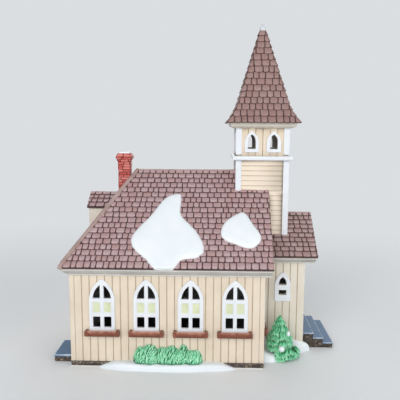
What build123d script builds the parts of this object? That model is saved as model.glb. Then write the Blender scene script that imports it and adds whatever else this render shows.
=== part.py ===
"""Porcelain village church with a lamp in its back wall, in millimetres.

The nave's long side faces -Y, its hipped end -X, and the entry wing with its steps +X.
The origin lies on the ground at the middle of the nave, and +Z points up.
"""
import os
from math import acos, ceil, cos, floor, hypot, sin, sqrt

from build123d import *

os.makedirs("parts", exist_ok=True)

# Foundation
base_height = 3.4
plinth_ledge = 1.0

# Nave walls
nave_length = 126.0
nave_width = 101.0
wall_thickness = 3.0
nave_cornice_z = 61.3
board_pitch = 5.0
groove_width = 0.6
groove_depth = 0.4

# Nave roof, a gable on the right and a hip on the left
nave_cornice_height = 6.1
nave_roof_rise = 58.0
eave_overhang = 5.8
gable_overhang = 4.7
hip_run = 38.5
roof_depth = 2.6
eave_edge = 0.8
course_exposure = 4.2
course_step = 0.8
hip_cap_half_width = 1.5
hip_cap_rise = 1.3
ridge_cap_half_width = 1.0
ridge_cap_rise = 0.6

# Crown mouldings under the eaves
cornice_bead = 1.0
cornice_lip = 0.7
mitre_gap = 0.06

# Entry wing, beside the stretch of gable wall that holds the end window
end_wall_width = 29.3
wing_length = 30.1
wing_width = 51.4
wing_cornice_z = 63.4
wing_cornice_height = 5.8
wing_roof_rise = 25.4
wing_overhang = 7.2
passage_width = 20.0
passage_height = 46.0

# Tower
tower_side = 35.4
tower_wall = 2.5
clapboard_exposure = 3.45
clapboard_step = 0.5
corner_board_width = 3.3
corner_board_proud = 0.7
string_rise = 7.8
string_height = 4.0
string_proud = 1.6
string_nose = 1.0
string_weathering = 1.2
tower_cornice_height = 4.0
tower_cornice_reach = 4.8

# Spire, with a bell-cast foot
spire_height = 68.4
spire_overhang = 1.5
spire_flare_height = 14.0
spire_flare_reach = 7.6
spire_tip_height = 4.0
spire_shell = 4.0

# Lancet windows of the nave
frame_width = 16.6
frame_height = 34.6
frame_border = 2.35
frame_proud = 1.0
frame_lap = 1.2
window_head_gap = 2.3
spigot_depth = 1.2
fit_gap = 0.1
mullion = 2.4
lower_light_height = 7.2
rail_height = 2.5
pane_height = 7.1
pane_recess = 0.6
window_count = 4
window_shift = 1.0
end_margin_gaps = 1.5

# Window boxes
box_height = 3.5
box_depth = 3.6
lug_width = 2.6
lug_height = 5.4
lug_gap = 0.5

# Small lancets of the entry wing and the belfry
entry_window_width = 10.9
entry_window_sill_z = 36.1
entry_window_shift = -0.1
entry_light_width = 5.2
entry_sill_height = 4.4
entry_lower_light = 3.6
entry_rail_height = 3.5
entry_upper_light = 5.7
entry_head_height = 3.4
belfry_frame_width = 9.8
belfry_frame_height = 14.6
belfry_sill_gap = 1.6
belfry_head_gap = 1.8
belfry_light_width = 5.3
belfry_sill_border = 2.4
belfry_head_border = 2.4
belfry_frame_proud = 0.9
belfry_pier_share = 4 / 7

# Doors
entry_door_width = 14.6
entry_door_height = 33.0
side_door_width = 11.0
side_door_height = 27.0
side_door_inset = 17.8
door_border = 2.2
door_frame_proud = 1.2
door_thickness = 1.6
door_recess = 0.8
leaf_gap = 0.3

# Steps and stoop
step_count = 3
step_rise = 3.47
landing_depth = 7.1
tread_depth = 7.0
step_width = 40.0
stoop_reach = 11.5
stoop_width = 23.7
stoop_height = 4.5

# Dormer on the hip
dormer_face_inset = 4.9
dormer_width = 24.7
dormer_wall = 2.0
dormer_drop = 16.3
dormer_rise = 9.2
dormer_overhang = 1.0
dormer_roof_depth = 1.8
niche_width = 8.0
niche_height = 13.0
niche_depth = 0.8
niche_drop = 2.0

# Chimney, across the middle of the hip
chimney_inset = 28.8
chimney_side = 8.2
chimney_rise = 5.8
corbel_height = 3.4
chimney_cap_height = 2.6
chimney_cap_proud = 1.5
chimney_top_inset = 1.6
chimney_snow_height = 0.8

# Snow, shrub and tree
snow_thickness = 1.6
snow_edge = 0.7
small_snow_inset = 20.7
bank_reach = 6.5
bank_half_length = 45.0
bank_batter = 2.6
corner_bank_past = 4.0
corner_bank_depth = 20.5
shrub_length = 46.0
shrub_lobes = 4
shrub_gap = 3.9
lobe_radius = 7.4
lobe_inset = 1.0
tree_gap = 2.6
tree_radius = 9.2
tree_height = 26.0
tree_tiers = 5
tier_overhang = 0.42
tuft_radius = 2.4
low_tuft_place = (-0.2, -7.1, 3.6)
high_tuft_place = (4.6, -2.6, 12.6)

# Lamp in the back wall
lamp_drop = 25.3
lamp_hole_radius = 15.5
lamp_seat_gap = 0.1
lamp_flange_lap = 3.0
lamp_flange = 3.0
lamp_barrel_gap = 3.0
lamp_barrel_length = 27.0
shell_outer_radius = 6.9
shell_wall = 0.4
shell_length = 14.0
shell_mouth = 1.5
lamp_boss_radius = 8.0
lamp_boss_length = 6.5
cord_bore_radius = 3.2
cord_bore_depth = 9.0
contact_radius = 3.0
contact_thickness = 1.0
clip_width = 8.0
clip_thickness = 0.5
clip_clearance = 0.6
clip_length = 17.0
clip_shoulder = 9.4
clip_catch = 6.0
bulb_base_radius = 6.0
bulb_base_length = 14.0
bulb_tip = 1.4
bulb_radius = 11.0
bulb_belly = 15.0
bulb_nose_radius = 3.0
bulb_nose_sweep = 70
bulb_length = 38.0

# Places that follow from the sizes above
nave_left_x = -nave_length / 2
nave_right_x = nave_length / 2
nave_half = nave_width / 2
nave_run = nave_half + eave_overhang
nave_eave_z = nave_cornice_z + nave_cornice_height
nave_ridge_z = nave_eave_z + nave_roof_rise
hip_overhang = eave_overhang * hip_run / nave_half
hip_eave_x = nave_left_x - hip_overhang
hip_end_x = nave_left_x + hip_run
hip_slope = nave_roof_rise / (hip_run + hip_overhang)
roof_right_x = nave_right_x + gable_overhang
wing_right_x = nave_right_x + wing_length
wing_roof_x = wing_right_x + wing_overhang
wing_run = wing_width / 2 + wing_overhang
wing_front_y = -nave_half + end_wall_width
axis_y = wing_front_y + wing_width / 2
wing_eave_z = wing_cornice_z + wing_cornice_height
wing_ridge_z = wing_eave_z + wing_roof_rise
tower_x = nave_right_x
tower_half = tower_side / 2
tower_inner = tower_side - 2 * tower_wall
tower_foot_z = wing_eave_z
string_z = nave_ridge_z + string_rise
string_top_z = string_z + string_height
belfry_frame_sill_z = string_top_z + belfry_sill_gap
belfry_top_z = belfry_frame_sill_z + belfry_frame_height + belfry_head_gap
spire_base_z = belfry_top_z + tower_cornice_height
spire_kink_z = spire_base_z + spire_flare_height
spire_apex_z = spire_base_z + spire_height
spire_tip_z = spire_apex_z - spire_tip_height
spire_base_half = tower_half + tower_cornice_reach + spire_overhang
spire_kink_half = spire_base_half - spire_flare_reach
step_start_x = wing_right_x + plinth_ledge
step_top_z = step_count * step_rise
bank_front_y = -nave_half - plinth_ledge
slope_length = hypot(nave_run, nave_roof_rise)
frame_sill_z = nave_cornice_z - window_head_gap - frame_height
box_width = frame_width + 2 * (lug_gap + lug_width)
box_gap = (nave_length - window_count * box_width) / (window_count - 1 + 2 * end_margin_gaps)
window_pitch = box_width + box_gap
tall = spire_apex_z

# Planes on the outer faces, each with its own x to the right and y up as seen from outside
nave_front_face = Plane(origin=(0, -nave_half, 0), x_dir=(1, 0, 0), z_dir=(0, -1, 0))
nave_rear_face = Plane(origin=(0, nave_half, 0), x_dir=(-1, 0, 0), z_dir=(0, 1, 0))
nave_left_face = Plane(origin=(nave_left_x, 0, 0), x_dir=(0, -1, 0), z_dir=(-1, 0, 0))
nave_right_face = Plane(origin=(nave_right_x, 0, 0), x_dir=(0, 1, 0), z_dir=(1, 0, 0))
wing_mid_x = (nave_right_x + wing_right_x) / 2
wing_front_face = Plane(
    origin=(wing_mid_x, wing_front_y, 0), x_dir=(1, 0, 0), z_dir=(0, -1, 0)
)
wing_rear_face = Plane(
    origin=(wing_mid_x, axis_y + wing_width / 2, 0), x_dir=(-1, 0, 0), z_dir=(0, 1, 0)
)
wing_end_face = Plane(origin=(wing_right_x, axis_y, 0), x_dir=(0, 1, 0), z_dir=(1, 0, 0))


def save(piece, name):
    """Label a finished piece and write its STEP file."""
    piece.part.label = name
    export_step(piece.part, f"parts/{name}.step")


def lancet(width, height):
    """Pointed arch on an equilateral curve, standing on the origin."""
    half = width / 2
    spring = height - width * sqrt(3) / 2
    middle = acos(0.5) / 2
    across = width * cos(middle) - half
    up = spring + width * sin(middle)
    with BuildSketch(Plane.XY) as outline:
        with BuildLine():
            Polyline((-half, spring), (-half, 0), (half, 0), (half, spring))
            ThreePointArc((half, spring), (across, up), (0, height))
            ThreePointArc((0, height), (-across, up), (-half, spring))
        make_face()
    return outline.sketch_local


def stepped_line(eave, ridge):
    """Shingle courses from eave to ridge, each a wedge with an upright butt."""
    run = ridge[0] - eave[0]
    rise = ridge[1] - eave[1]
    length = hypot(run, rise)
    count = max(1, round(length / course_exposure))
    butt_height = course_step * length / abs(run)
    points = []
    for course in range(count):
        low = course / count
        high = (course + 1) / count
        points.append((eave[0] + run * low, eave[1] + rise * low + butt_height))
        points.append((eave[0] + run * high, eave[1] + rise * high))
    return points


def slope_section(run, eave_z, ridge_z, depth):
    """Section of one roof slope, from its eave at -run to its ridge at 0, with a level soffit."""
    top = stepped_line((-run, eave_z), (0, ridge_z))
    soffit = (depth - eave_edge) * run / (ridge_z - eave_z)
    return [(-run, eave_z - eave_edge)] + top + [(0, ridge_z - depth), (soffit - run, eave_z - eave_edge)]


def gable_section(run, eave_z, ridge_z):
    """Space under a pair of slopes, down to the ground."""
    return [(-run, 0), (run, 0), (run, eave_z), (0, ridge_z), (-run, eave_z)]


def crown_section(reach, foot_z, eave_z, slope):
    """Crown moulding from a wall to the underside of its eave, measured out from the wall."""
    lip = reach - cornice_lip
    under = eave_z - eave_edge
    soffit = (roof_depth - eave_edge) / slope
    cove = ((lip + cornice_bead) / 2 + cornice_bead / 4, (foot_z + under) / 2 - cornice_bead / 4)
    with BuildSketch(Plane.XY) as outline:
        with BuildLine():
            Polyline((lip, under), (reach - soffit, under), (0, under + slope * (reach - soffit)),
                     (0, foot_z), (cornice_bead, foot_z), (cornice_bead, foot_z + cornice_bead))
            ThreePointArc((cornice_bead, foot_z + cornice_bead), cove, (lip, under - cornice_bead))
            Line((lip, under - cornice_bead), (lip, under))
        make_face()
    return outline.sketch_local


# Spaces under the roofs, which the walls fill and the tower stands on
nave_under = gable_section(nave_run, nave_eave_z - roof_depth, nave_ridge_z - roof_depth)
wing_under = gable_section(wing_run, wing_eave_z - roof_depth, wing_ridge_z - roof_depth)

with BuildPart() as nave_space:
    with BuildSketch(Plane.YZ.offset(nave_left_x)):
        Polygon(*nave_under, align=None)
    extrude(amount=nave_length)
    with BuildSketch(Plane.XZ):
        Polygon(
            (hip_eave_x, 0),
            (nave_right_x, 0),
            (nave_right_x, nave_ridge_z + hip_slope * hip_run),
            (hip_end_x + hip_run, nave_ridge_z - roof_depth + hip_slope * hip_run),
            (hip_eave_x, nave_eave_z - roof_depth),
            align=None,
        )
    extrude(amount=nave_run, both=True, mode=Mode.INTERSECT)

with BuildPart() as wing_space:
    with BuildSketch(Plane.YZ.offset(nave_right_x)):
        with Locations((axis_y, 0)):
            Polygon(*wing_under, align=None)
    extrude(amount=wing_length)

# Foundation
with BuildPart() as nave_foundation:
    Box(nave_length + 2 * plinth_ledge, nave_width + 2 * plinth_ledge, base_height,
        align=(Align.CENTER, Align.CENTER, Align.MIN))
save(nave_foundation, "nave_foundation")

with BuildPart() as entry_foundation:
    with Locations((nave_right_x + plinth_ledge, axis_y, 0)):
        Box(wing_length, wing_width + 2 * plinth_ledge, base_height,
            align=(Align.MIN, Align.CENTER, Align.MIN))
save(entry_foundation, "entry_foundation")


def boarded_wall(face, start, end, space):
    """Wall behind a face, up to the roof over it, its outer side scored into vertical boards."""
    first = ceil(start / board_pitch)
    last = floor(end / board_pitch)
    scores = [(board * board_pitch, base_height) for board in range(first, last + 1)]
    upright = (Align.CENTER, Align.MIN)
    with BuildPart() as wall:
        with BuildSketch(face):
            with Locations(((start + end) / 2, base_height)):
                Rectangle(end - start, tall, align=upright)
        extrude(amount=-wall_thickness)
        with BuildSketch(face):
            with Locations(*scores):
                Rectangle(groove_width, tall, align=upright)
        extrude(amount=-groove_depth, mode=Mode.SUBTRACT)
        add(space.part, mode=Mode.INTERSECT)
    return wall


def pierce(wall, face, outline, places):
    """Cut an outline through a wall at each place on its face."""
    with BuildPart() as pierced:
        add(wall.part)
        with BuildSketch(face):
            with Locations(*places):
                add(outline)
        extrude(amount=-wall_thickness, mode=Mode.SUBTRACT)
    return pierced


# Window shapes, the same for all the nave's windows
spigot_width = frame_width - 2 * frame_lap
spigot_height = frame_height - 3 * frame_lap
frame_outline = lancet(frame_width, frame_height)
spigot_outline = lancet(spigot_width, spigot_height)
opening_outline = lancet(spigot_width + 2 * fit_gap, spigot_height + 2 * fit_gap)
light_span = frame_width - 2 * frame_border
light_width = (light_span - mullion) / 2
light_offset = (light_width + mullion) / 2
light_outline = lancet(light_span, frame_height - frame_border - frame_border * sqrt(2))
lower_rail = frame_border + lower_light_height
pane_foot = lower_rail + rail_height
upper_rail = pane_foot + pane_height + rail_height

with BuildSketch(Plane.XY) as open_lights:
    with Locations((0, frame_border)):
        add(light_outline)
    Rectangle(mullion, frame_height, align=(Align.CENTER, Align.MIN), mode=Mode.SUBTRACT)
    with Locations((0, lower_rail)):
        Rectangle(light_span, upper_rail - lower_rail, align=(Align.CENTER, Align.MIN),
                  mode=Mode.SUBTRACT)

with BuildSketch(Plane.XY) as blind_panes:
    with Locations((-light_offset, pane_foot), (light_offset, pane_foot)):
        Rectangle(light_width, pane_height, align=(Align.CENTER, Align.MIN))


def lancet_windows(face, places):
    """Framed windows seated in their wall openings: upper and lower lights open, middle panes blind."""
    outer = face.offset(frame_proud)
    spigots = [(x, sill + frame_lap) for x, sill in places]
    with BuildPart() as windows:
        with BuildSketch(face):
            with Locations(*places):
                add(frame_outline)
        extrude(amount=frame_proud)
        with BuildSketch(face):
            with Locations(*spigots):
                add(spigot_outline)
        extrude(amount=-spigot_depth)
        with BuildSketch(outer):
            with Locations(*places):
                add(open_lights.sketch_local)
        extrude(amount=-frame_proud - spigot_depth, mode=Mode.SUBTRACT)
        with BuildSketch(outer):
            with Locations(*places):
                add(blind_panes.sketch_local)
        extrude(amount=-pane_recess, mode=Mode.SUBTRACT)
    return windows


def window_boxes(face, places):
    """Planter bars under the windows, with a raised lug at each end."""
    bars = [(x, sill - box_height) for x, sill in places]
    lug_offset = (box_width - lug_width) / 2
    lugs = [(x + side * lug_offset, foot) for x, foot in bars for side in (-1, 1)]
    with BuildPart() as boxes:
        with BuildSketch(face):
            with Locations(*bars):
                Rectangle(box_width, box_height, align=(Align.CENTER, Align.MIN))
            with Locations(*lugs):
                Rectangle(lug_width, lug_height, align=(Align.CENTER, Align.MIN))
        extrude(amount=box_depth)
    return boxes


# Nave walls with their windows
outer_window_x = (window_count - 1) / 2 * window_pitch
front_places = [(window_shift - outer_window_x + index * window_pitch, frame_sill_z)
                for index in range(window_count)]
rear_places = [(-outer_window_x, frame_sill_z), (outer_window_x, frame_sill_z)]
end_places = [(end_wall_width / 2 - nave_half, frame_sill_z)]
lamp_z = nave_cornice_z - lamp_drop


def openings(places):
    """Feet of the wall openings behind windows at these places."""
    return [(x, sill + frame_lap - fit_gap) for x, sill in places]


nave_inner_x = nave_length / 2 - wall_thickness
nave_front_wall = boarded_wall(nave_front_face, -nave_inner_x, nave_inner_x, nave_space)
nave_front_wall = pierce(nave_front_wall, nave_front_face, opening_outline, openings(front_places))
save(nave_front_wall, "nave_front_wall")

with BuildSketch(Plane.XY) as lamp_hole:
    Circle(lamp_hole_radius)

nave_rear_wall = boarded_wall(nave_rear_face, -nave_inner_x, nave_inner_x, nave_space)
nave_rear_wall = pierce(nave_rear_wall, nave_rear_face, opening_outline, openings(rear_places))
nave_rear_wall = pierce(nave_rear_wall, nave_rear_face, lamp_hole.sketch_local, [(0, lamp_z)])
save(nave_rear_wall, "nave_rear_wall")

side_door_y = side_door_inset - nave_half
side_door_outline = lancet(side_door_width, side_door_height)
side_door_places = [(-side_door_y, stoop_height)]
nave_left_wall = boarded_wall(nave_left_face, -nave_half, nave_half, nave_space)
nave_left_wall = pierce(nave_left_wall, nave_left_face, side_door_outline, side_door_places)
save(nave_left_wall, "nave_left_wall")

passage_outline = lancet(passage_width, passage_height)
nave_right_wall = boarded_wall(nave_right_face, -nave_half, nave_half, nave_space)
nave_right_wall = pierce(nave_right_wall, nave_right_face, opening_outline, openings(end_places))
nave_right_wall = pierce(nave_right_wall, nave_right_face, passage_outline, [(axis_y, base_height)])
save(nave_right_wall, "nave_right_wall")

save(lancet_windows(nave_front_face, front_places), "front_windows")
save(window_boxes(nave_front_face, front_places), "front_window_boxes")
save(lancet_windows(nave_rear_face, rear_places), "rear_windows")
save(lancet_windows(nave_right_face, end_places), "end_window")
save(window_boxes(nave_right_face, end_places), "end_window_box")

# Nave roof
hip_corner_y = nave_run + eave_overhang
hip_corner_x = hip_end_x + (hip_eave_x - hip_end_x) * hip_corner_y / nave_run
nave_section = slope_section(nave_run, nave_eave_z, nave_ridge_z, roof_depth)


def nave_slope(side):
    """Front (-1) or rear (1) slope, mitred to the hip and open under the tower."""
    section = [(-side * out, up) for out, up in nave_section]
    plan = [(hip_end_x, 0), (hip_corner_x, side * hip_corner_y), (roof_right_x, side * hip_corner_y),
            (roof_right_x, 0)]
    with BuildPart() as slope:
        with BuildSketch(Plane.YZ.offset(hip_corner_x)):
            Polygon(*section, align=None)
        extrude(amount=roof_right_x - hip_corner_x)
        with BuildSketch(Plane.XY):
            Polygon(*plan, align=None)
        extrude(amount=tall, mode=Mode.INTERSECT)
        with Locations((tower_x, axis_y, 0)):
            Box(tower_inner, tower_inner, tall, align=(Align.CENTER, Align.CENTER, Align.MIN),
                mode=Mode.SUBTRACT)
    return slope


nave_roof_front = nave_slope(-1)
save(nave_roof_front, "nave_roof_front")
nave_roof_rear = nave_slope(1)
save(nave_roof_rear, "nave_roof_rear")

hip_section = slope_section(hip_run + hip_overhang, nave_eave_z, nave_ridge_z, roof_depth)
with BuildPart() as nave_roof_hip:
    with BuildSketch(Plane.XZ):
        Polygon(*[(hip_end_x + out, up) for out, up in hip_section], align=None)
    extrude(amount=hip_corner_y, both=True)
    with BuildSketch(Plane.XY):
        Polygon((hip_end_x, 0), (hip_corner_x, -hip_corner_y), (hip_corner_x, hip_corner_y), align=None)
    extrude(amount=tall, mode=Mode.INTERSECT)
save(nave_roof_hip, "nave_roof_hip")



def cap_section(half_width, rise):
    """Section of a plain cap, from the line of its hip or ridge."""
    return [(-half_width, -half_width), (half_width, -half_width), (half_width, rise / 2),
            (half_width / 2, rise), (-half_width / 2, rise), (-half_width, rise / 2)]


# Plain caps along the hips and the ridges
hip_foot = Vector(hip_eave_x, -nave_run, nave_eave_z)
hip_head = Vector(hip_end_x, 0, nave_ridge_z)
hip_line = hip_head - hip_foot
across_hip = Vector(hip_line.Y, -hip_line.X, 0)

with BuildPart() as front_hip_cap:
    with BuildSketch(Plane(origin=hip_foot, x_dir=across_hip, z_dir=hip_line)):
        Polygon(*cap_section(hip_cap_half_width, hip_cap_rise), align=None)
    extrude(amount=hip_line.length)
    with BuildSketch(Plane.XY):
        Polygon((hip_end_x, -mitre_gap), (hip_end_x, -nave_run), (hip_eave_x, -nave_run),
                (hip_eave_x, -mitre_gap), align=None)
    extrude(amount=tall, mode=Mode.INTERSECT)
    add(nave_roof_front.part, mode=Mode.SUBTRACT)
    add(nave_roof_hip.part, mode=Mode.SUBTRACT)
    add(nave_space.part, mode=Mode.SUBTRACT)

with BuildPart() as hip_caps:
    add(front_hip_cap.part.solids().sort_by(SortBy.VOLUME)[-1])
    mirror(about=Plane.XZ)
save(hip_caps, "hip_caps")


def ridge_cap(start, end, ridge_y, ridge_z, slopes):
    """Cap over a level ridge, cut to sit on its two slopes."""
    with BuildPart() as cap:
        with BuildSketch(Plane.YZ.offset(start)):
            with Locations((ridge_y, ridge_z)):
                Polygon(*cap_section(ridge_cap_half_width, ridge_cap_rise), align=None)
        extrude(amount=end - start)
        for slope in slopes:
            add(slope.part, mode=Mode.SUBTRACT)
    return cap


# Entry wing walls
wing_inner = wing_length / 2 - wall_thickness
entry_window_places = [(entry_window_shift, entry_window_sill_z)]
upper_light_foot = entry_sill_height + entry_lower_light + entry_rail_height
entry_window_height = upper_light_foot + entry_upper_light + entry_head_height
entry_window_outline = lancet(entry_window_width, entry_window_height)

with BuildSketch(Plane.XY) as entry_lights:
    with Locations((0, upper_light_foot)):
        add(lancet(entry_light_width, entry_upper_light))
    with Locations((0, entry_sill_height)):
        Rectangle(entry_light_width, entry_lower_light, align=(Align.CENTER, Align.MIN))

entry_front_wall = boarded_wall(wing_front_face, -wing_length / 2, wing_inner, wing_space)
entry_front_wall = pierce(entry_front_wall, wing_front_face, entry_lights.sketch_local, entry_window_places)
save(entry_front_wall, "entry_front_wall")

entry_rear_wall = boarded_wall(wing_rear_face, -wing_inner, wing_length / 2, wing_space)
save(entry_rear_wall, "entry_rear_wall")

entry_door_outline = lancet(entry_door_width, entry_door_height)
entry_door_places = [(0, step_top_z)]
entry_end_wall = boarded_wall(wing_end_face, -wing_width / 2, wing_width / 2, wing_space)
entry_end_wall = pierce(entry_end_wall, wing_end_face, entry_door_outline, entry_door_places)
save(entry_end_wall, "entry_end_wall")

with BuildPart() as entry_window:
    with BuildSketch(wing_front_face):
        with Locations(*entry_window_places):
            add(entry_window_outline)
            add(entry_lights.sketch_local, mode=Mode.SUBTRACT)
    extrude(amount=frame_proud)
save(entry_window, "entry_window")

# Entry wing roof
wing_section = slope_section(wing_run, wing_eave_z, wing_ridge_z, roof_depth)


def wing_slope(side):
    """Front (-1) or rear (1) slope of the wing, open under the tower."""
    section = [(axis_y - side * out, up) for out, up in wing_section]
    with BuildPart() as slope:
        with BuildSketch(Plane.YZ.offset(nave_right_x)):
            Polygon(*section, align=None)
        extrude(amount=wing_roof_x - nave_right_x)
        with Locations((tower_x, axis_y, 0)):
            Box(tower_inner, tower_inner, tall, align=(Align.CENTER, Align.CENTER, Align.MIN),
                mode=Mode.SUBTRACT)
    return slope


entry_roof_front = wing_slope(-1)
save(entry_roof_front, "entry_roof_front")
entry_roof_rear = wing_slope(1)
save(entry_roof_rear, "entry_roof_rear")

nave_ridge_cap = ridge_cap(hip_end_x, tower_x - tower_half, 0, nave_ridge_z,
                           (nave_roof_front, nave_roof_rear))
entry_ridge_cap = ridge_cap(tower_x + tower_half, wing_roof_x, axis_y, wing_ridge_z,
                            (entry_roof_front, entry_roof_rear))
with BuildPart() as ridge_caps:
    add(nave_ridge_cap.part)
    add(entry_ridge_cap.part)
save(ridge_caps, "ridge_caps")

# Cornices
nave_crown = crown_section(eave_overhang, nave_cornice_z, nave_eave_z, nave_roof_rise / nave_run)
hip_crown = crown_section(hip_overhang, nave_cornice_z, nave_eave_z, hip_slope)
wing_slope_ratio = wing_roof_rise / wing_run
wing_crown = crown_section(wing_overhang, wing_cornice_z, wing_eave_z, wing_slope_ratio)
cornice_end_x = roof_right_x - cornice_lip


def nave_cornice(side):
    """Crown moulding along the front (-1) or rear (1) wall, mitred at the hip."""
    start_x = hip_corner_x if side > 0 else cornice_end_x
    far_x = cornice_end_x if side > 0 else hip_corner_x
    profile_plane = Plane(origin=(far_x, side * nave_half, 0), x_dir=(0, side, 0), z_dir=(side, 0, 0))
    with BuildPart() as strip:
        with BuildSketch(profile_plane):
            add(nave_crown)
        extrude(amount=-abs(start_x - far_x))
        with BuildSketch(Plane.XY):
            Polygon((hip_end_x + mitre_gap, 0), (hip_corner_x + mitre_gap, side * hip_corner_y),
                    (cornice_end_x, side * hip_corner_y), (cornice_end_x, 0), align=None)
        extrude(amount=tall, mode=Mode.INTERSECT)
    return strip


save(nave_cornice(-1), "nave_cornice_front")
save(nave_cornice(1), "nave_cornice_rear")

with BuildPart() as nave_cornice_left:
    with BuildSketch(Plane(origin=(nave_left_x, -hip_corner_y, 0), x_dir=(-1, 0, 0), z_dir=(0, 1, 0))):
        add(hip_crown)
    extrude(amount=2 * hip_corner_y)
    with BuildSketch(Plane.XY):
        Polygon((hip_end_x - mitre_gap, 0), (hip_corner_x - mitre_gap, -hip_corner_y),
                (hip_corner_x - mitre_gap, hip_corner_y), align=None)
    extrude(amount=tall, mode=Mode.INTERSECT)
save(nave_cornice_left, "nave_cornice_left")

with BuildPart() as entry_cornice:
    with BuildSketch(Plane(origin=(nave_right_x, wing_front_y, 0), x_dir=(0, -1, 0),
                           z_dir=(-1, 0, 0))):
        add(wing_crown)
    extrude(amount=nave_right_x - wing_roof_x + cornice_lip)
    with BuildSketch(Plane(origin=(nave_right_x, axis_y + wing_width / 2, 0), x_dir=(0, 1, 0),
                           z_dir=(1, 0, 0))):
        add(wing_crown)
    extrude(amount=wing_roof_x - cornice_lip - nave_right_x)
save(entry_cornice, "entry_cornice")

# Doors, steps and stoop


def door_frame(face, places, width, height):
    """White lancet surround on a wall."""
    with BuildPart() as frame:
        with BuildSketch(face):
            with Locations(*places):
                add(lancet(width + 2 * door_border, height + door_border * sqrt(3)))
                add(lancet(width, height), mode=Mode.SUBTRACT)
        extrude(amount=door_frame_proud)
    return frame


def door_leaf(face, places, width, height):
    """Plank door filling its opening, set back from the wall face and scored at its middle."""
    leaf_plane = face.offset(-door_recess)
    with BuildPart() as leaf:
        with BuildSketch(leaf_plane):
            with Locations(*places):
                add(lancet(width, height))
                Rectangle(leaf_gap, height, align=(Align.CENTER, Align.MIN), mode=Mode.SUBTRACT)
        extrude(amount=-door_thickness)
    return leaf


save(door_frame(wing_end_face, entry_door_places, entry_door_width, entry_door_height), "entry_door_frame")
save(door_leaf(wing_end_face, entry_door_places, entry_door_width, entry_door_height), "entry_doors")
save(door_frame(nave_left_face, side_door_places, side_door_width, side_door_height), "side_door_frame")
save(door_leaf(nave_left_face, side_door_places, side_door_width, side_door_height), "side_door")

step_outline = [(step_start_x, 0), (step_start_x, step_top_z)]
for step in range(step_count):
    nosing_x = step_start_x + landing_depth + step * tread_depth
    step_outline.append((nosing_x, step_top_z - step * step_rise))
    step_outline.append((nosing_x, step_top_z - (step + 1) * step_rise))

with BuildPart() as entry_steps:
    with BuildSketch(Plane.XZ.offset(-axis_y)):
        Polygon(*step_outline, align=None)
    extrude(amount=step_width / 2, both=True)
save(entry_steps, "entry_steps")

with BuildPart() as side_stoop:
    with Locations((nave_left_x - plinth_ledge, side_door_y, 0)):
        Box(stoop_reach, stoop_width, stoop_height, align=(Align.MAX, Align.CENTER, Align.MIN))
save(side_stoop, "side_stoop")

# Dormer on the hip
dormer_face_x = nave_left_x + dormer_face_inset
dormer_run = dormer_width / 2 + dormer_overhang
dormer_ridge_z = nave_ridge_z - dormer_drop
dormer_eave_z = dormer_ridge_z - dormer_rise
dormer_back_x = hip_end_x
dormer_section = slope_section(dormer_run, dormer_eave_z, dormer_ridge_z, dormer_roof_depth)


def dormer_slope(side):
    """Front (-1) or rear (1) slope of the dormer, running back into the hip."""
    section = [(-side * out, up) for out, up in dormer_section]
    with BuildPart() as slope:
        with BuildSketch(Plane.YZ.offset(dormer_face_x - dormer_overhang)):
            Polygon(*section, align=None)
        extrude(amount=dormer_back_x - dormer_face_x + dormer_overhang)
        add(nave_roof_hip.part, mode=Mode.SUBTRACT)
        add(nave_space.part, mode=Mode.SUBTRACT)
    return slope


dormer_roof_front = dormer_slope(-1)
save(dormer_roof_front, "dormer_roof_front")
dormer_roof_rear = dormer_slope(1)
save(dormer_roof_rear, "dormer_roof_rear")

dormer_ratio = dormer_rise / dormer_run
dormer_half = dormer_width / 2
dormer_under_z = dormer_ridge_z - dormer_roof_depth
dormer_outer = gable_section(dormer_half, dormer_under_z - dormer_ratio * dormer_half, dormer_under_z)
inner_half = dormer_half - dormer_wall
dormer_inner = gable_section(inner_half, dormer_under_z - dormer_ratio * inner_half, dormer_under_z)
niche_foot_z = dormer_under_z - niche_drop - niche_height
dormer_front_face = Plane(origin=(dormer_face_x, 0, 0), x_dir=(0, -1, 0), z_dir=(-1, 0, 0))

with BuildPart() as dormer_walls:
    with BuildSketch(Plane.YZ.offset(dormer_face_x)):
        Polygon(*dormer_outer, align=None)
    extrude(amount=dormer_back_x - dormer_face_x)
    with BuildSketch(Plane.YZ.offset(dormer_face_x + dormer_wall)):
        Polygon(*dormer_inner, align=None)
    extrude(amount=dormer_back_x - dormer_face_x, mode=Mode.SUBTRACT)
    add(nave_roof_hip.part, mode=Mode.SUBTRACT)
    add(nave_space.part, mode=Mode.SUBTRACT)
    with BuildSketch(dormer_front_face):
        with Locations((0, niche_foot_z)):
            add(lancet(niche_width, niche_height))
    extrude(amount=-niche_depth, mode=Mode.SUBTRACT)
save(dormer_walls, "dormer_walls")

# Chimney
chimney_x = nave_left_x + chimney_inset
cap_side = chimney_side + 2 * chimney_cap_proud
chimney_top_side = cap_side - 2 * chimney_top_inset
chimney_neck_z = nave_ridge_z + chimney_rise
cap_foot_z = chimney_neck_z + corbel_height
cap_top_z = cap_foot_z + chimney_cap_height
standing = (Align.CENTER, Align.CENTER, Align.MIN)

with BuildPart() as chimney_column:
    with Locations((chimney_x, 0, 0)):
        Box(chimney_side, chimney_side, chimney_neck_z, align=standing)
    for roof in (nave_space, nave_roof_hip, nave_roof_front, nave_roof_rear, dormer_roof_front,
                 dormer_roof_rear, dormer_walls):
        add(roof.part, mode=Mode.SUBTRACT)

with BuildPart() as chimney_stack:
    add(chimney_column.part.solids().sort_by(Axis.Z)[-1])
save(chimney_stack, "chimney_stack")

with BuildPart() as chimney_cap:
    for sections in (((chimney_side, chimney_neck_z), (cap_side, cap_foot_z)),
                     ((cap_side, cap_foot_z), (chimney_top_side, cap_top_z))):
        for side, level in sections:
            with BuildSketch(Plane.XY.offset(level)):
                with Locations((chimney_x, 0)):
                    Rectangle(side, side)
        loft()
save(chimney_cap, "chimney_cap")

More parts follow.
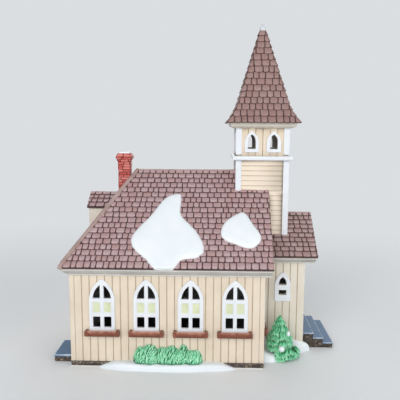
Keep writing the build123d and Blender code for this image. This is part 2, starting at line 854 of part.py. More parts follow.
with BuildPart() as chimney_snow:
    with Locations((chimney_x, 0, cap_top_z)):
        Box(chimney_top_side, chimney_top_side, chimney_snow_height, align=standing)
    chamfer(chimney_snow.edges().group_by(Axis.Z)[-1], chimney_snow_height / 2)
save(chimney_snow, "chimney_snow")

# Tower
tower_faces = {"front": 0, "right": 90, "rear": 180, "left": 270}
roof_masses = (nave_space, wing_space, nave_roof_front, nave_roof_rear, entry_roof_front, entry_roof_rear)
belfry_light_height = belfry_frame_height - belfry_sill_border - belfry_head_border
belfry_opening = lancet(belfry_light_width, belfry_light_height)
belfry_foot_z = belfry_frame_sill_z + belfry_sill_border
belfry_free = tower_side - 2 * corner_board_width - 2 * belfry_frame_width
belfry_window_offset = (belfry_frame_width + belfry_free * belfry_pier_share) / 2


def tower_plane(turn):
    """Plane on a tower face, turned about the tower's axis from its front."""
    front = Plane(origin=(0, -tower_half, 0), x_dir=(1, 0, 0), z_dir=(0, -1, 0))
    return Plane(Location((tower_x, axis_y, 0), (0, 0, turn)) * front.location)


def clapboard_section():
    """Section of a tower wall: clapboards below the string course, a flat face above it."""
    count = ceil((string_z - tower_foot_z) / clapboard_exposure)
    points = [(-tower_wall, tower_foot_z), (-tower_wall, spire_base_z), (0, spire_base_z), (0, string_z)]
    for board in range(count):
        head = string_z - board * clapboard_exposure
        foot = max(head - clapboard_exposure, tower_foot_z)
        points.append((-clapboard_step, head))
        points.append((0, foot))
    return points


def tower_wall_panel(turn, width):
    """One side of the tower, its foot cut to the roofs and its belfry pierced by two lancets."""
    face = tower_plane(turn)
    section_plane = Plane(
        origin=face.from_local_coords((width / 2, 0, 0)), x_dir=face.z_dir, z_dir=-face.x_dir
    )
    first = ceil(-width / 2 / board_pitch)
    scores = [(board * board_pitch, string_z) for board in range(first, -first + 1)]
    lights = [(-belfry_window_offset, belfry_foot_z), (belfry_window_offset, belfry_foot_z)]
    with BuildPart() as panel:
        with BuildSketch(section_plane):
            Polygon(*clapboard_section(), align=None)
        extrude(amount=width)
        with BuildSketch(face):
            with Locations(*scores):
                Rectangle(groove_width, spire_base_z - string_z, align=(Align.CENTER, Align.MIN))
        extrude(amount=-groove_depth, mode=Mode.SUBTRACT)
        with BuildSketch(face):
            with Locations(*lights):
                add(belfry_opening)
        extrude(amount=-tower_wall, mode=Mode.SUBTRACT)
        for mass in roof_masses:
            add(mass.part, mode=Mode.SUBTRACT)
    return panel


for side_name, side_turn in tower_faces.items():
    side_width = tower_side if side_name in ("front", "rear") else tower_inner
    save(tower_wall_panel(side_turn, side_width), f"tower_{side_name}_wall")


def corner_boards(foot, head):
    """Four angle boards up the tower's corners."""
    reach = tower_half + corner_board_proud
    inside = tower_half - corner_board_width
    with BuildPart() as boards:
        with BuildSketch(Plane.XY.offset(foot)):
            with Locations((tower_x, axis_y)):
                with PolarLocations(0, 4):
                    Polygon((inside, -reach), (reach, -reach), (reach, -inside), (tower_half, -inside),
                            (tower_half, -tower_half), (inside, -tower_half), align=None)
        extrude(amount=head - foot)
        for mass in roof_masses:
            add(mass.part, mode=Mode.SUBTRACT)
    return boards


with BuildPart() as tower_corner_boards:
    add(corner_boards(tower_foot_z, string_z).part)
    add(corner_boards(string_top_z, belfry_top_z).part)
save(tower_corner_boards, "tower_corner_boards")


def mitred_ring(section, reach):
    """Four mitred lengths of one section round the tower, measured out from its axis."""
    with BuildPart() as length:
        with BuildSketch(Plane(origin=(reach, 0, 0), x_dir=(0, -1, 0), z_dir=(-1, 0, 0))):
            Polygon(*section, align=None)
        extrude(amount=2 * reach)
        with BuildSketch(Plane.XY):
            Polygon((0, -mitre_gap), (reach, -reach - mitre_gap), (-reach, -reach - mitre_gap), align=None)
        extrude(amount=tall, mode=Mode.INTERSECT)
    with BuildPart() as ring:
        with Locations((tower_x, axis_y, 0)):
            with PolarLocations(0, 4):
                add(length.part)
    return ring


string_out = tower_half + string_proud
string_section = [(tower_half, string_z), (string_out - corner_board_proud, string_z),
                  (string_out, string_z + string_nose), (string_out, string_top_z - string_weathering),
                  (tower_half + corner_board_proud, string_top_z), (tower_half, string_top_z)]
save(mitred_ring(string_section, string_out + cornice_bead), "tower_string_course")

cornice_out = tower_half + tower_cornice_reach
cornice_section = [(tower_half, belfry_top_z), (tower_half + cornice_bead, belfry_top_z),
                   (cornice_out - cornice_bead, belfry_top_z + tower_cornice_height / 4),
                   (cornice_out - cornice_lip / 2, belfry_top_z + tower_cornice_height / 3),
                   (cornice_out, spire_base_z - tower_cornice_height / 4), (cornice_out, spire_base_z),
                   (tower_half, spire_base_z)]
save(mitred_ring(cornice_section, cornice_out + cornice_bead), "tower_cornice")

belfry_frame_outline = lancet(belfry_frame_width, belfry_frame_height)
with BuildPart() as belfry_frames:
    for side_turn in tower_faces.values():
        with BuildSketch(tower_plane(side_turn)):
            with Locations((-belfry_window_offset, belfry_frame_sill_z),
                           (belfry_window_offset, belfry_frame_sill_z)):
                add(belfry_frame_outline)
            with Locations((-belfry_window_offset, belfry_foot_z), (belfry_window_offset, belfry_foot_z)):
                add(belfry_opening, mode=Mode.SUBTRACT)
        extrude(amount=belfry_frame_proud)
save(belfry_frames, "belfry_window_frames")

# Spire
spire_taper = spire_kink_half / (spire_height - spire_flare_height)


def spire_half(z):
    """Half width of the spire at a height: straight above the kink, curving outwards below it."""
    straight = spire_taper * (spire_apex_z - z)
    if z >= spire_kink_z:
        return straight
    flare = (spire_kink_z - z) / spire_flare_height
    spread = spire_base_half - spire_taper * spire_height
    return straight + spread * flare * flare


spire_courses = round((spire_tip_z - spire_base_z) / course_exposure)
spire_course_rise = (spire_tip_z - spire_base_z) / spire_courses
spire_section = [(tower_half - tower_wall, spire_base_z)]
for course in range(spire_courses):
    foot_z = spire_base_z + course * spire_course_rise
    head_z = foot_z + spire_course_rise
    spire_section.append((spire_half(foot_z) + course_step, foot_z))
    spire_section.append((spire_half(head_z), head_z))
spire_section.append((0, spire_tip_z))
spire_section.append((0, spire_tip_z - spire_shell))
save(mitred_ring(spire_section, spire_base_half + 2 * course_step), "spire")

tip_half = spire_half(spire_tip_z) + course_step / 2
with BuildPart() as spire_snow_tip:
    with BuildSketch(Plane.XY.offset(spire_tip_z)):
        with Locations((tower_x, axis_y)):
            Rectangle(2 * tip_half, 2 * tip_half)
    with BuildSketch(Plane.XY.offset(spire_apex_z)):
        with Locations((tower_x, axis_y)):
            Rectangle(course_step, course_step)
    loft()
save(spire_snow_tip, "spire_snow_tip")

# Snow patches on the front slope, resting on the shingle butts
slope_sine = nave_roof_rise / slope_length
slope_cosine = nave_run / slope_length
snow_plane = Plane(
    origin=(0, -nave_run - slope_sine * course_step, nave_eave_z + slope_cosine * course_step),
    x_dir=(1, 0, 0),
    z_dir=(0, -slope_sine, slope_cosine),
)


def snow_patch(middle_x, outline):
    """Slab of snow with soft edges, its outline measured along the roof and up from the eave."""
    with BuildPart() as patch:
        with BuildSketch(snow_plane):
            with BuildLine():
                Spline(*[(middle_x + along, up) for along, up in outline], periodic=True)
            make_face()
        extrude(amount=snow_thickness)
        top_edges = patch.faces().sort_by(Axis(snow_plane.origin, snow_plane.z_dir))[-1].edges()
        chamfer(top_edges, snow_edge)
    return patch


large_snow = [(5.5, 58.8), (-3.4, 54.8), (-10.5, 43.4), (-18.9, 31.5), (-24, 20.4), (-20.8, 13.2),
              (-13.6, 6.4), (-8.4, 1.4), (-1.4, 0), (5.4, 1.2), (9, 5.4), (17.5, 7.4), (23.4, 12),
              (22.4, 20), (15, 32), (7.9, 41), (7.8, 53.5)]
small_snow = [(0.8, 43.1), (-5.5, 39.2), (-12, 30.6), (-11.7, 23.1), (-2.2, 17.6), (7.2, 15.3),
              (13.7, 22.3), (9, 33.1)]
with BuildPart() as roof_snow:
    add(snow_patch(0, large_snow).part)
    add(snow_patch(roof_right_x - small_snow_inset, small_snow).part)
save(roof_snow, "roof_snow")

# Snow banks, shrub and tree at the foot of the walls


def snow_mound(x, y, length, reach):
    """Elliptical mound as high as the foundation, its sides sloping in."""
    with BuildPart() as mound:
        with BuildSketch(Plane.XY):
            with Locations((x, y)):
                Ellipse(length, reach)
        with BuildSketch(Plane.XY.offset(base_height)):
            with Locations((x, y)):
                Ellipse(length - bank_batter, reach - bank_batter)
        loft()
    return mound


with BuildPart() as front_snow_bank:
    add(snow_mound(0, bank_front_y, bank_half_length, bank_reach).part)
    split(bisect_by=nave_front_face.offset(plinth_ledge), keep=Keep.TOP)
save(front_snow_bank, "front_snow_bank")

corner_x = nave_right_x + plinth_ledge
corner_y = wing_front_y - plinth_ledge
with BuildPart() as corner_snow_bank:
    add(snow_mound(corner_x, corner_y, wing_length + corner_bank_past, corner_bank_depth).part)
    split(bisect_by=nave_right_face.offset(plinth_ledge), keep=Keep.TOP)
    split(bisect_by=wing_front_face.offset(plinth_ledge), keep=Keep.TOP)
save(corner_snow_bank, "corner_snow_bank")

lobe_spacing = (shrub_length - 2 * lobe_radius) / (shrub_lobes - 1)
lobe_z = frame_sill_z - box_height - shrub_gap - lobe_radius
with BuildPart() as front_shrub:
    with Locations((0, -nave_half + lobe_inset, lobe_z)):
        with GridLocations(lobe_spacing, 1, shrub_lobes, 1):
            Sphere(lobe_radius)
    with BuildSketch(Plane.XY.offset(lobe_z)):
        with Locations((0, -nave_half + lobe_inset)):
            with GridLocations(lobe_spacing, 1, shrub_lobes, 1):
                Circle(lobe_radius)
    extrude(amount=base_height - lobe_z)
    split(bisect_by=nave_front_face, keep=Keep.TOP)
    split(bisect_by=Plane.XY.offset(base_height), keep=Keep.TOP)
save(front_shrub, "front_shrub")

tier_height = tree_height / tree_tiers
tree_outline = [(0, 0)]
for tier in range(tree_tiers):
    skirt = tree_radius * (1 - tier / tree_tiers)
    tree_outline.append((skirt, tier * tier_height))
    neck = skirt * (1 - tier_overhang) if tier < tree_tiers - 1 else 0
    tree_outline.append((neck, (tier + 1) * tier_height))

tree_foot = Vector(
    nave_right_x + box_depth + fit_gap + tree_radius, wing_front_y - tree_gap - tree_radius, base_height
)
with BuildPart() as fir_tree:
    with BuildSketch(Plane(origin=tree_foot, x_dir=(1, 0, 0), z_dir=(0, -1, 0))):
        Polygon(*tree_outline, align=None)
    revolve(axis=Axis(tree_foot, (0, 0, 1)))
save(fir_tree, "fir_tree")

with BuildPart() as tree_snow_tufts:
    with Locations(tree_foot + Vector(low_tuft_place), tree_foot + Vector(high_tuft_place)):
        Sphere(tuft_radius)
    add(fir_tree.part, mode=Mode.SUBTRACT)
save(tree_snow_tufts, "tree_snow_tufts")

# Lamp: a clip-in holder in the back wall, with a candelabra bulb on its axis
lamp_axis = Plane(origin=(0, nave_half, lamp_z), x_dir=(1, 0, 0), z_dir=(0, 1, 0))
lamp_barrel_radius = lamp_hole_radius - lamp_barrel_gap
barrel_end = lamp_seat_gap - lamp_barrel_length
shell_radius = shell_outer_radius - shell_wall
shell_start = barrel_end + shell_mouth
shell_end = shell_start + shell_length
contact_end = shell_end + contact_thickness

with BuildPart() as lamp_holder:
    with BuildSketch(lamp_axis.offset(lamp_seat_gap)):
        Circle(lamp_hole_radius + lamp_flange_lap)
    extrude(amount=lamp_flange)
    with BuildSketch(lamp_axis.offset(lamp_seat_gap)):
        Circle(lamp_barrel_radius)
    extrude(amount=-lamp_barrel_length)
    with BuildSketch(lamp_axis.offset(lamp_seat_gap + lamp_flange)):
        Circle(lamp_boss_radius)
    extrude(amount=lamp_boss_length)
    with BuildSketch(lamp_axis.offset(barrel_end)):
        Circle(shell_outer_radius + fit_gap)
    extrude(amount=contact_end - barrel_end, mode=Mode.SUBTRACT)
    with BuildSketch(lamp_axis.offset(lamp_seat_gap + lamp_flange + lamp_boss_length)):
        Circle(cord_bore_radius)
    extrude(amount=-cord_bore_depth, mode=Mode.SUBTRACT)
save(lamp_holder, "lamp_holder")

with BuildPart() as lamp_screw_shell:
    with BuildSketch(lamp_axis.offset(shell_start)):
        Circle(shell_outer_radius)
        Circle(shell_radius, mode=Mode.SUBTRACT)
    extrude(amount=shell_length)
save(lamp_screw_shell, "lamp_screw_shell")

with BuildPart() as lamp_contact:
    with BuildSketch(lamp_axis.offset(shell_end)):
        Circle(contact_radius)
    extrude(amount=contact_thickness)
save(lamp_contact, "lamp_contact")

clip_out = lamp_hole_radius - clip_clearance
clip_reach = sqrt(clip_out**2 - (clip_width / 2) ** 2)
clip_path = [(lamp_barrel_radius, -clip_length), (clip_reach, -clip_shoulder), (clip_reach, -clip_catch),
             (lamp_barrel_radius, 0)]
with BuildPart() as lamp_clips:
    with BuildSketch(Plane(origin=(0, nave_half, lamp_z), x_dir=(1, 0, 0), z_dir=(0, 0, 1))):
        Polygon(*clip_path, *[(x - clip_thickness, y) for x, y in reversed(clip_path)], align=None)
        mirror(about=Plane.YZ)
    extrude(amount=clip_width / 2, both=True)
    with BuildSketch(lamp_axis.offset(lamp_seat_gap)):
        Circle(lamp_barrel_radius)
    extrude(amount=-lamp_barrel_length, mode=Mode.SUBTRACT)
save(lamp_clips, "lamp_clips")

bulb_foot = shell_end - fit_gap
with BuildPart() as bulb_base:
    with BuildSketch(lamp_axis.offset(bulb_foot - bulb_tip)):
        Circle(bulb_base_radius)
    extrude(amount=-bulb_base_length)
    with BuildSketch(lamp_axis.offset(bulb_foot)):
        Circle(contact_radius)
    with BuildSketch(lamp_axis.offset(bulb_foot - bulb_tip)):
        Circle(bulb_base_radius - shell_wall)
    loft()
save(bulb_base, "bulb_base")

glass_start = bulb_foot - bulb_tip - bulb_base_length
neck_radius = bulb_base_radius - shell_wall
with BuildPart() as bulb_glass:
    with BuildSketch(Plane(origin=(0, nave_half + glass_start, lamp_z), x_dir=(1, 0, 0), z_dir=(0, 0, 1))):
        with BuildLine():
            nose = CenterArc((0, bulb_nose_radius - bulb_length), bulb_nose_radius, -90, bulb_nose_sweep)
            ThreePointArc(nose @ 1, (bulb_radius, -bulb_belly), (neck_radius, 0))
            Polyline((neck_radius, 0), (0, 0), (0, -bulb_length))
        make_face()
    revolve(axis=Axis((0, nave_half, lamp_z), (0, 1, 0)))
save(bulb_glass, "bulb_glass")
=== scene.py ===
"""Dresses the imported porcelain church: glazed edges, single shingles, bricks, stones, snow, greenery."""
import math
import random

import bmesh
import bpy
import numpy
from mathutils import Color, Matrix, Vector, noise


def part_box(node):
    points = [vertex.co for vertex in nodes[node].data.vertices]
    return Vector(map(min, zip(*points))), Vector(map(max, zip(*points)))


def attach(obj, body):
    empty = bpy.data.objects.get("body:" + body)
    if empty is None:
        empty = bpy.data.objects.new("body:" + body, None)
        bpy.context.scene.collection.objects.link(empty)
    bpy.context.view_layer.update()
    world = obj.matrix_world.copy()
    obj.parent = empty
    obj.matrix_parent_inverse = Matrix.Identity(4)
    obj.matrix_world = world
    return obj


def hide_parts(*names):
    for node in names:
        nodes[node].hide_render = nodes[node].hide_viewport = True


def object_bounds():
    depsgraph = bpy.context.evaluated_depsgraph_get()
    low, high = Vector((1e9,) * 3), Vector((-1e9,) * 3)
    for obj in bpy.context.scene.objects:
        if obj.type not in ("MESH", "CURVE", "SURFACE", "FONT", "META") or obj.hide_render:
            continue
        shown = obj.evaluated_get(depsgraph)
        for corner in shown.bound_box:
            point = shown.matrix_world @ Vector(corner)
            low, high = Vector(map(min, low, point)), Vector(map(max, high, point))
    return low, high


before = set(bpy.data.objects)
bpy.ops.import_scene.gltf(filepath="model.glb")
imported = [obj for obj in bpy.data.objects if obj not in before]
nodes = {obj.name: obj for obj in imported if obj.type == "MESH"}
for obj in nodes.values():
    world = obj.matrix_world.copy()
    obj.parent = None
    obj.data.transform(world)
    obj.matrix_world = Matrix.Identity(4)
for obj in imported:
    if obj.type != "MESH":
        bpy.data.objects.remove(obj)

cad_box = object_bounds()
mm = 0.001
full_turn = 2 * math.pi
rng = random.Random(7)

# Camera, fitted to the photograph
image_width = 400
focal_pixels = 526.45
sensor_width = 36.0
camera_place = Vector((28.95, -377.0, 154.16)) * mm
camera_pitch = math.radians(7.62)
camera_yaw = math.radians(-1.39)
camera_roll = math.radians(0.29)

# Sizes shared with the solids
course_exposure = 4.2 * mm
course_step = 0.8 * mm
eave_edge = 0.8 * mm
board_pitch = 5.0 * mm
groove_depth = 0.4 * mm
groove_half = 0.55 * mm
wall_inside = 2.5 * mm
clapboard_exposure = 3.45 * mm
pane_recess = 0.6 * mm
spire_flare_height = 14.0 * mm
spire_flare_reach = 7.6 * mm

# Edges
weld = 0.002 * mm
flat_angle = math.radians(1)
soft_angle = math.radians(28)
glaze_crisp = 50
tile_crisp = 60
metal_edge = 0.08 * mm
wall_edge = 0.12 * mm
small_edge = 0.15 * mm
trim_edge = 0.25 * mm
block_edge = 0.3 * mm
plain_edge = 0.4 * mm
thick_edge = 0.5 * mm
facing_share = 0.9

# Shingles
tile_width = 4.7 * mm
tile_gap = 0.46 * mm
tile_thickness = 0.5 * mm
tile_round = 0.9 * mm
tile_bevel = 0.3 * mm
tile_sink = 0.25 * mm
tile_waver = 0.12 * mm
course_gap = 0.35 * mm
eave_drop = 0.4 * mm
hip_inset = 1.0 * mm
least_tile = 1.6 * mm * mm

# Bricks, planter boxes and stones
brick_length = 5.6 * mm
brick_height = 1.9 * mm
brick_gap = 0.2 * mm
brick_edge = 0.3 * mm
corbel_height = 3.4 * mm
chimney_top_inset = 1.6 * mm
box_foot = -0.1 * mm
box_height = 4.4 * mm
lug_height = 4.5 * mm
lug_width = 2.7 * mm
lug_foot = 0.5 * mm
rock_size = 2.7 * mm
rock_grain = 0.55 * mm
base_rim = 0.7 * mm
side_inset = 1.4 * mm
step_count = 3
tread_depth = 7.0 * mm
slab_thickness = 0.9 * mm
slab_lip = 0.5 * mm
step_overrun = 4.5 * mm

# Paint
paint_detail = 4.0
coat_roughness = 0.25
sheen_spread = 0.08
relief_depth = 0.4 * mm
backdrop_tone = (219, 222, 225)


# Small tools for meshes


def heading(angle):
    """Flat direction at an angle."""
    return Vector((math.cos(angle), math.sin(angle)))


def centre(points):
    """Mean of flat points."""
    return sum(points, Vector((0, 0))) / len(points)


def four_sides():
    """Outward and sideways directions of the sides of a square shaft, from the front round to the left."""
    for side in range(4):
        turn = Matrix.Rotation(side * math.pi / 2, 3, "Z")
        yield turn @ Vector((0, -1, 0)), turn @ Vector((1, 0, 0))


def grid(bm, rows, closed=False, caps=()):
    """Joins rows of vertices into a sheet of quads, and fills the rows that caps names."""
    for lower, upper in zip(rows, rows[1:]):
        count = len(lower)
        for index in range(count if closed else count - 1):
            following = (index + 1) % count
            bm.faces.new((lower[index], lower[following], upper[following], upper[index]))
    for row in caps:
        bm.faces.new(rows[row])


def sheet(bm, rows, columns, vertex, closed=False, caps=()):
    """Sheet of quads over the vertices that a function makes for each row and column."""
    grid(bm, [[vertex(row, column) for column in range(columns)] for row in range(rows)], closed, caps)


def place(name, bm, materials, body="house", crisp=None, stands_for=None):
    """Makes a piece of a finished mesh, riding on a body; edges above the crisp angle stay sharp."""
    mesh = bpy.data.meshes.new(name)
    bmesh.ops.recalc_face_normals(bm, faces=bm.faces)
    for face in bm.faces:
        face.smooth = True
    bm.to_mesh(mesh)
    bm.free()
    for material in materials:
        mesh.materials.append(material)
    piece = bpy.data.objects.new(name, mesh)
    bpy.context.scene.collection.objects.link(piece)
    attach(piece, body)
    if crisp:
        mesh.set_sharp_from_angle(angle=math.radians(crisp))
        flat_faces = piece.modifiers.new("flat_faces", "WEIGHTED_NORMAL")
        flat_faces.keep_sharp = True
    if stands_for:
        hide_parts(stands_for)


def soften(node_name, width, materials, body="house", paint=None, shape=None):
    """Stands for a CAD node with its edges rounded, as glaze rounds them; paint picks each material."""
    bm = bmesh.new()
    bm.from_mesh(nodes[node_name].data)
    for vert in bm.verts if shape else ():
        vert.co.x += shape(vert.co)
    bmesh.ops.remove_doubles(bm, verts=bm.verts, dist=weld)
    bmesh.ops.dissolve_limit(bm, angle_limit=flat_angle, verts=bm.verts, edges=bm.edges)
    if width:
        crisp = [edge for edge in bm.edges if edge.is_manifold and edge.calc_face_angle() > soft_angle]
        bmesh.ops.bevel(bm, geom=crisp, offset=width, segments=2, profile=0.5, affect="EDGES",
                        clamp_overlap=False)
    for face in bm.faces:
        face.material_index = paint(face) if paint else 0
    place(f"{node_name}_glazed", bm, materials, body, glaze_crisp, node_name)


def repaint(node_name, material):
    """Paints a CAD node that stays in view."""
    nodes[node_name].data.materials.clear()
    nodes[node_name].data.materials.append(material)


def islands(node_name):
    """Lowest and highest corner of each separate solid in a CAD node."""
    bm = bmesh.new()
    bm.from_mesh(nodes[node_name].data)
    bmesh.ops.remove_doubles(bm, verts=bm.verts, dist=weld)
    left = set(bm.verts)
    found = []
    while left:
        waiting = [left.pop()]
        group = list(waiting)
        while waiting:
            vert = waiting.pop()
            for link in vert.link_edges:
                other = link.other_vert(vert)
                if other in left:
                    left.remove(other)
                    waiting.append(other)
                    group.append(other)
        spots = numpy.array([vert.co for vert in group])
        found.append((Vector(spots.min(0)), Vector(spots.max(0))))
    bm.free()
    return sorted(found, key=lambda ends: tuple(ends[0]))


def block_corners(low, high, out=0.0):
    """Flat corners of a block grown by some length, from the front left round to the rear left."""
    left, right = low.x - out, high.x + out
    front, rear = low.y - out, high.y + out
    return [Vector(spot) for spot in ((left, front), (right, front), (right, rear), (left, rear))]


def band(name, low, high, profile, paint, stands_for=None):
    """Moulding round a block, from its outward and upward steps in millimetres above the block's foot."""
    bm = bmesh.new()

    def vertex(row, column):
        out, rise = profile[row]
        return bm.verts.new((*block_corners(low, high, out * mm)[column], low.z + rise * mm))

    sheet(bm, len(profile), 4, vertex, closed=True)
    place(name, bm, [paint], crisp=glaze_crisp, stands_for=stands_for)


# Tiles and strands


def tiled_mesh():
    """Empty mesh, with the vertex layers that its paint reads: how worn a spot is and how much painted shade
    it carries, and its tile's tint.
    """
    bm = bmesh.new()
    return bm, (bm.verts.layers.float.new("wear_and_shade"), bm.verts.layers.float.new("tint"))


def dab(bm, layers, spot, wear_and_shade, tint):
    """Vertex with its wear and painted shade, and its tint."""
    vert = bm.verts.new(spot)
    vert[layers[0]] = wear_and_shade
    vert[layers[1]] = tint
    return vert


def clip(outline, region):
    """Part of a flat outline that lies inside a convex region listed counter-clockwise."""
    for start, end in zip(region, region[1:] + region[:1]):
        edge = end - start
        kept = []
        for point, following in zip(outline, outline[1:] + outline[:1]):
            here = edge.cross(point - start)
            there = edge.cross(following - start)
            if here >= 0:
                kept.append(point)
            if here * there < 0:
                kept.append(point.lerp(following, here / (here - there)))
        outline = kept
        if len(outline) < 3:
            return []
    return outline


def area(outline):
    """Area of a flat outline."""
    return abs(sum(a.cross(b) for a, b in zip(outline, outline[1:] + outline[:1]))) / 2


def trapezoid(foot_half, foot, head_half, head):
    """Upright outline between a foot and a head of given half widths."""
    return [Vector((-foot_half, foot)), Vector((foot_half, foot)), Vector((head_half, head)),
            Vector((-head_half, head))]


def rounded_tile(left, right, foot, head, corner):
    """Outline of a tile whose two lower corners are rounded."""
    corner = min(corner, (right - left) / 3, (head - foot) / 3)
    nick = corner * 0.3
    points = ((left, head), (left, foot + corner), (left + nick, foot + nick), (left + corner, foot),
              (right - corner, foot), (right - nick, foot + nick), (right, foot + corner), (right, head))
    return [Vector(point) for point in points]


def spread(start, end, width, unevenness):
    """Uneven stretches of about one width that fill a length, the first one cut short."""
    stretches = []
    left = start - rng.random() * width
    while left < end:
        right = left + width * (1 + unevenness * (2 * rng.random() - 1))
        stretches.append((left, right))
        left = right
    return stretches


def add_tile(bm, layers, outline, to_world, normal, thickness, bevel, sink):
    """One raised tile with rounded edges over a flat outline, laid by to_world, worn along its foot; its
    sides are darker than its top, a brown wash in the joints together with painted shade under each course.
    """
    foot_wear = 0.15
    most_inset = 0.6
    tone = rng.random()
    middle = centre(outline)
    worn_below = min(point.y for point in outline) + bevel * 4
    rings = []
    # Sides dark and top light: brown wash in the joints and painted shade under each course.
    for inset, height, wear_and_shade in ((0, -sink, 0.0), (0, thickness - bevel, 0.2), (bevel, thickness, 0.85)):
        ring = []
        for point in outline:
            inward = middle - point
            spot = point + inward * min(most_inset, inset / max(inward.length, 1e-9))
            more = foot_wear if inset and point.y < worn_below else 0
            ring.append(dab(bm, layers, to_world(spot) + normal * height, wear_and_shade + more, tone))
        rings.append(ring)
    grid(bm, rings, closed=True, caps=(-1,))


def strand(bm, layers, points, radius, shade, tone):
    """Tapered round strand through points, shaded along its length."""
    sides = 6
    last = len(points) - 1
    rings = []
    for index, point in enumerate(points):
        ahead = points[min(index + 1, last)] - points[max(index - 1, 0)]
        turn = ahead.to_track_quat("Z", "Y")
        along = index / last
        girth = radius * (0.35 + 0.65 * math.sin(math.pi * min(1, 0.12 + 0.88 * along) ** 0.8))
        ring = []
        for side in range(sides):
            out = turn @ heading(full_turn * side / sides).to_3d()
            ring.append(dab(bm, layers, point + out * girth, shade(along), tone))
        rings.append(ring)
    grid(bm, rings, closed=True, caps=(0, -1))


# Materials


def rgb(*channels):
    """Linear colour of sRGB channels from 0 to 255."""
    return (*Color([channel / 255 for channel in channels]).from_srgb_to_scene_linear(), 1.0)


def tones(*stops):
    """Stops of a colour ramp, from positions and sRGB channels."""
    return [(position, rgb(*channels)) for position, *channels in stops]


def fill(tree, made, inputs):
    """Sets inputs of a shader node, or links them where a socket is given."""
    for key, value in inputs.items():
        if isinstance(value, bpy.types.NodeSocket):
            tree.links.new(value, made.inputs[key])
        else:
            made.inputs[key].default_value = value


def node(tree, kind, inputs, **settings):
    """New shader node with its settings and inputs."""
    made = tree.nodes.new(kind)
    for key, value in settings.items():
        setattr(made, key, value)
    fill(tree, made, inputs)
    return made


def calculate(tree, operation, *values):
    """Result of an operation on sockets and numbers."""
    return node(tree, "ShaderNodeMath", dict(enumerate(values)), operation=operation).outputs[0]


def remap(tree, value, low, high, start=0.0, end=1.0, ease="LINEAR"):
    """Value moved from the range start to end to the range low to high."""
    inputs = {"Value": value, "From Min": start, "From Max": end, "To Min": low, "To Max": high}
    return node(tree, "ShaderNodeMapRange", inputs, interpolation_type=ease).outputs["Result"]


def in_object(tree):
    """Place in the object's own space, so that paint moves with its body."""
    return node(tree, "ShaderNodeTexCoord", {}).outputs["Object"]


def cloud(tree, scale):
    """Noise in the object's own space."""
    inputs = {"Vector": in_object(tree), "Scale": scale, "Detail": paint_detail}
    return node(tree, "ShaderNodeTexNoise", inputs).outputs["Fac"]


def ramp(tree, factor, stops):
    """Colour ramp over a factor, from stops of position and colour."""
    made = node(tree, "ShaderNodeValToRGB", {"Fac": factor})
    elements = made.color_ramp.elements
    while len(elements) < len(stops):
        elements.new(0.5)
    for element, (position, colour) in zip(elements, stops):
        element.position = position
        element.color = colour
    return made.outputs["Color"]


def weigh(tree, *terms):
    """Sum of sockets, each times its weight."""
    total = 0.0
    for socket, weight in terms:
        total = calculate(tree, "MULTIPLY_ADD", socket, weight, total)
    return total


def attribute(tree, name):
    """Value of one of a mesh's vertex layers."""
    return node(tree, "ShaderNodeAttribute", {}, attribute_name=name).outputs["Fac"]


def tinted(tree, colour, hues):
    """Colour multiplied by a hue that the tint of each tile picks."""
    inputs = {0: 1.0, 6: colour, 7: ramp(tree, attribute(tree, "tint"), hues)}
    return node(tree, "ShaderNodeMix", inputs, data_type="RGBA", blend_type="MULTIPLY").outputs[2]


def new_material(name):
    """New material, with its node tree and its shader."""
    material = bpy.data.materials.new(name)
    material.use_nodes = True
    return material, material.node_tree, material.node_tree.nodes["Principled BSDF"]


def painted(name, stops, grain, roughness, relief=0.1, factor=None, coat=0.2, hues=None):
    """Painted porcelain: brushed tones under a thin glaze, a little uneven to the touch."""
    material, tree, shader = new_material(name)
    mottle = cloud(tree, grain)
    colour = ramp(tree, factor(tree, mottle) if factor else mottle, stops)
    if hues:
        colour = tinted(tree, colour, hues)
    bumps = {"Strength": relief, "Distance": relief_depth, "Height": cloud(tree, grain * 3)}
    fill(tree, shader, {
        "Base Color": colour,
        "Roughness": remap(tree, mottle, roughness - sheen_spread, roughness + sheen_spread),
        "Normal": node(tree, "ShaderNodeBump", bumps).outputs["Normal"],
        "Coat Weight": coat,
        "Coat Roughness": coat_roughness,
    })
    return material


def washed(name, dark, light, grain, roughness, relief=0.1):
    """Paint that wavers between two tones."""
    return painted(name, tones((0.3, *dark), (0.7, *light)), grain, roughness, relief)


def polished(name, colour, roughness, metallic, grain):
    """Plain metal or moulded plastic with fine brushed or moulded unevenness."""
    material, tree, shader = new_material(name)
    sheen = 0.07
    shaded = (*(channel * 0.86 for channel in colour[:3]), 1)
    mottle = cloud(tree, grain)
    fill(tree, shader, {
        "Base Color": ramp(tree, mottle, [(0.3, shaded), (0.7, colour)]),
        "Roughness": remap(tree, mottle, roughness - sheen, roughness + sheen),
        "Metallic": metallic,
    })
    return material


def clear_glass(name):
    """Clear glass with faint smudges."""
    material, tree, shader = new_material(name)
    smudges = remap(tree, cloud(tree, 90), 0.02, 0.08)
    fill(tree, shader, {"Transmission Weight": 1.0, "IOR": 1.45, "Roughness": smudges})
    return material


def worn_and_shaded(tint_share, mottle_share):
    """Factor for tiles and strands: their wear and painted shade, and their tint, broken up by the mottle.
    """
    return lambda tree, mottle: weigh(
        tree, (attribute(tree, "wear_and_shade"), 0.7), (attribute(tree, "tint"), tint_share), (mottle, mottle_share)
    )


def shadow_lines(axis, origin, pitch, share):
    """Factor for clapboards: a painted shadow line along the top of each board, under the butt of the board
    above, over the mottle.
    """
    def factor(tree, mottle):
        split = node(tree, "ShaderNodeSeparateXYZ", {"Vector": in_object(tree)})
        steps = calculate(tree, "MULTIPLY_ADD", split.outputs[axis], -1 / pitch, origin / pitch)
        shadow_line = remap(tree, calculate(tree, "FRACT", steps), 0.0, 1.0, 0.0, share, "SMOOTHSTEP")
        return weigh(tree, (shadow_line, 0.6), (mottle, 0.4))
    return factor


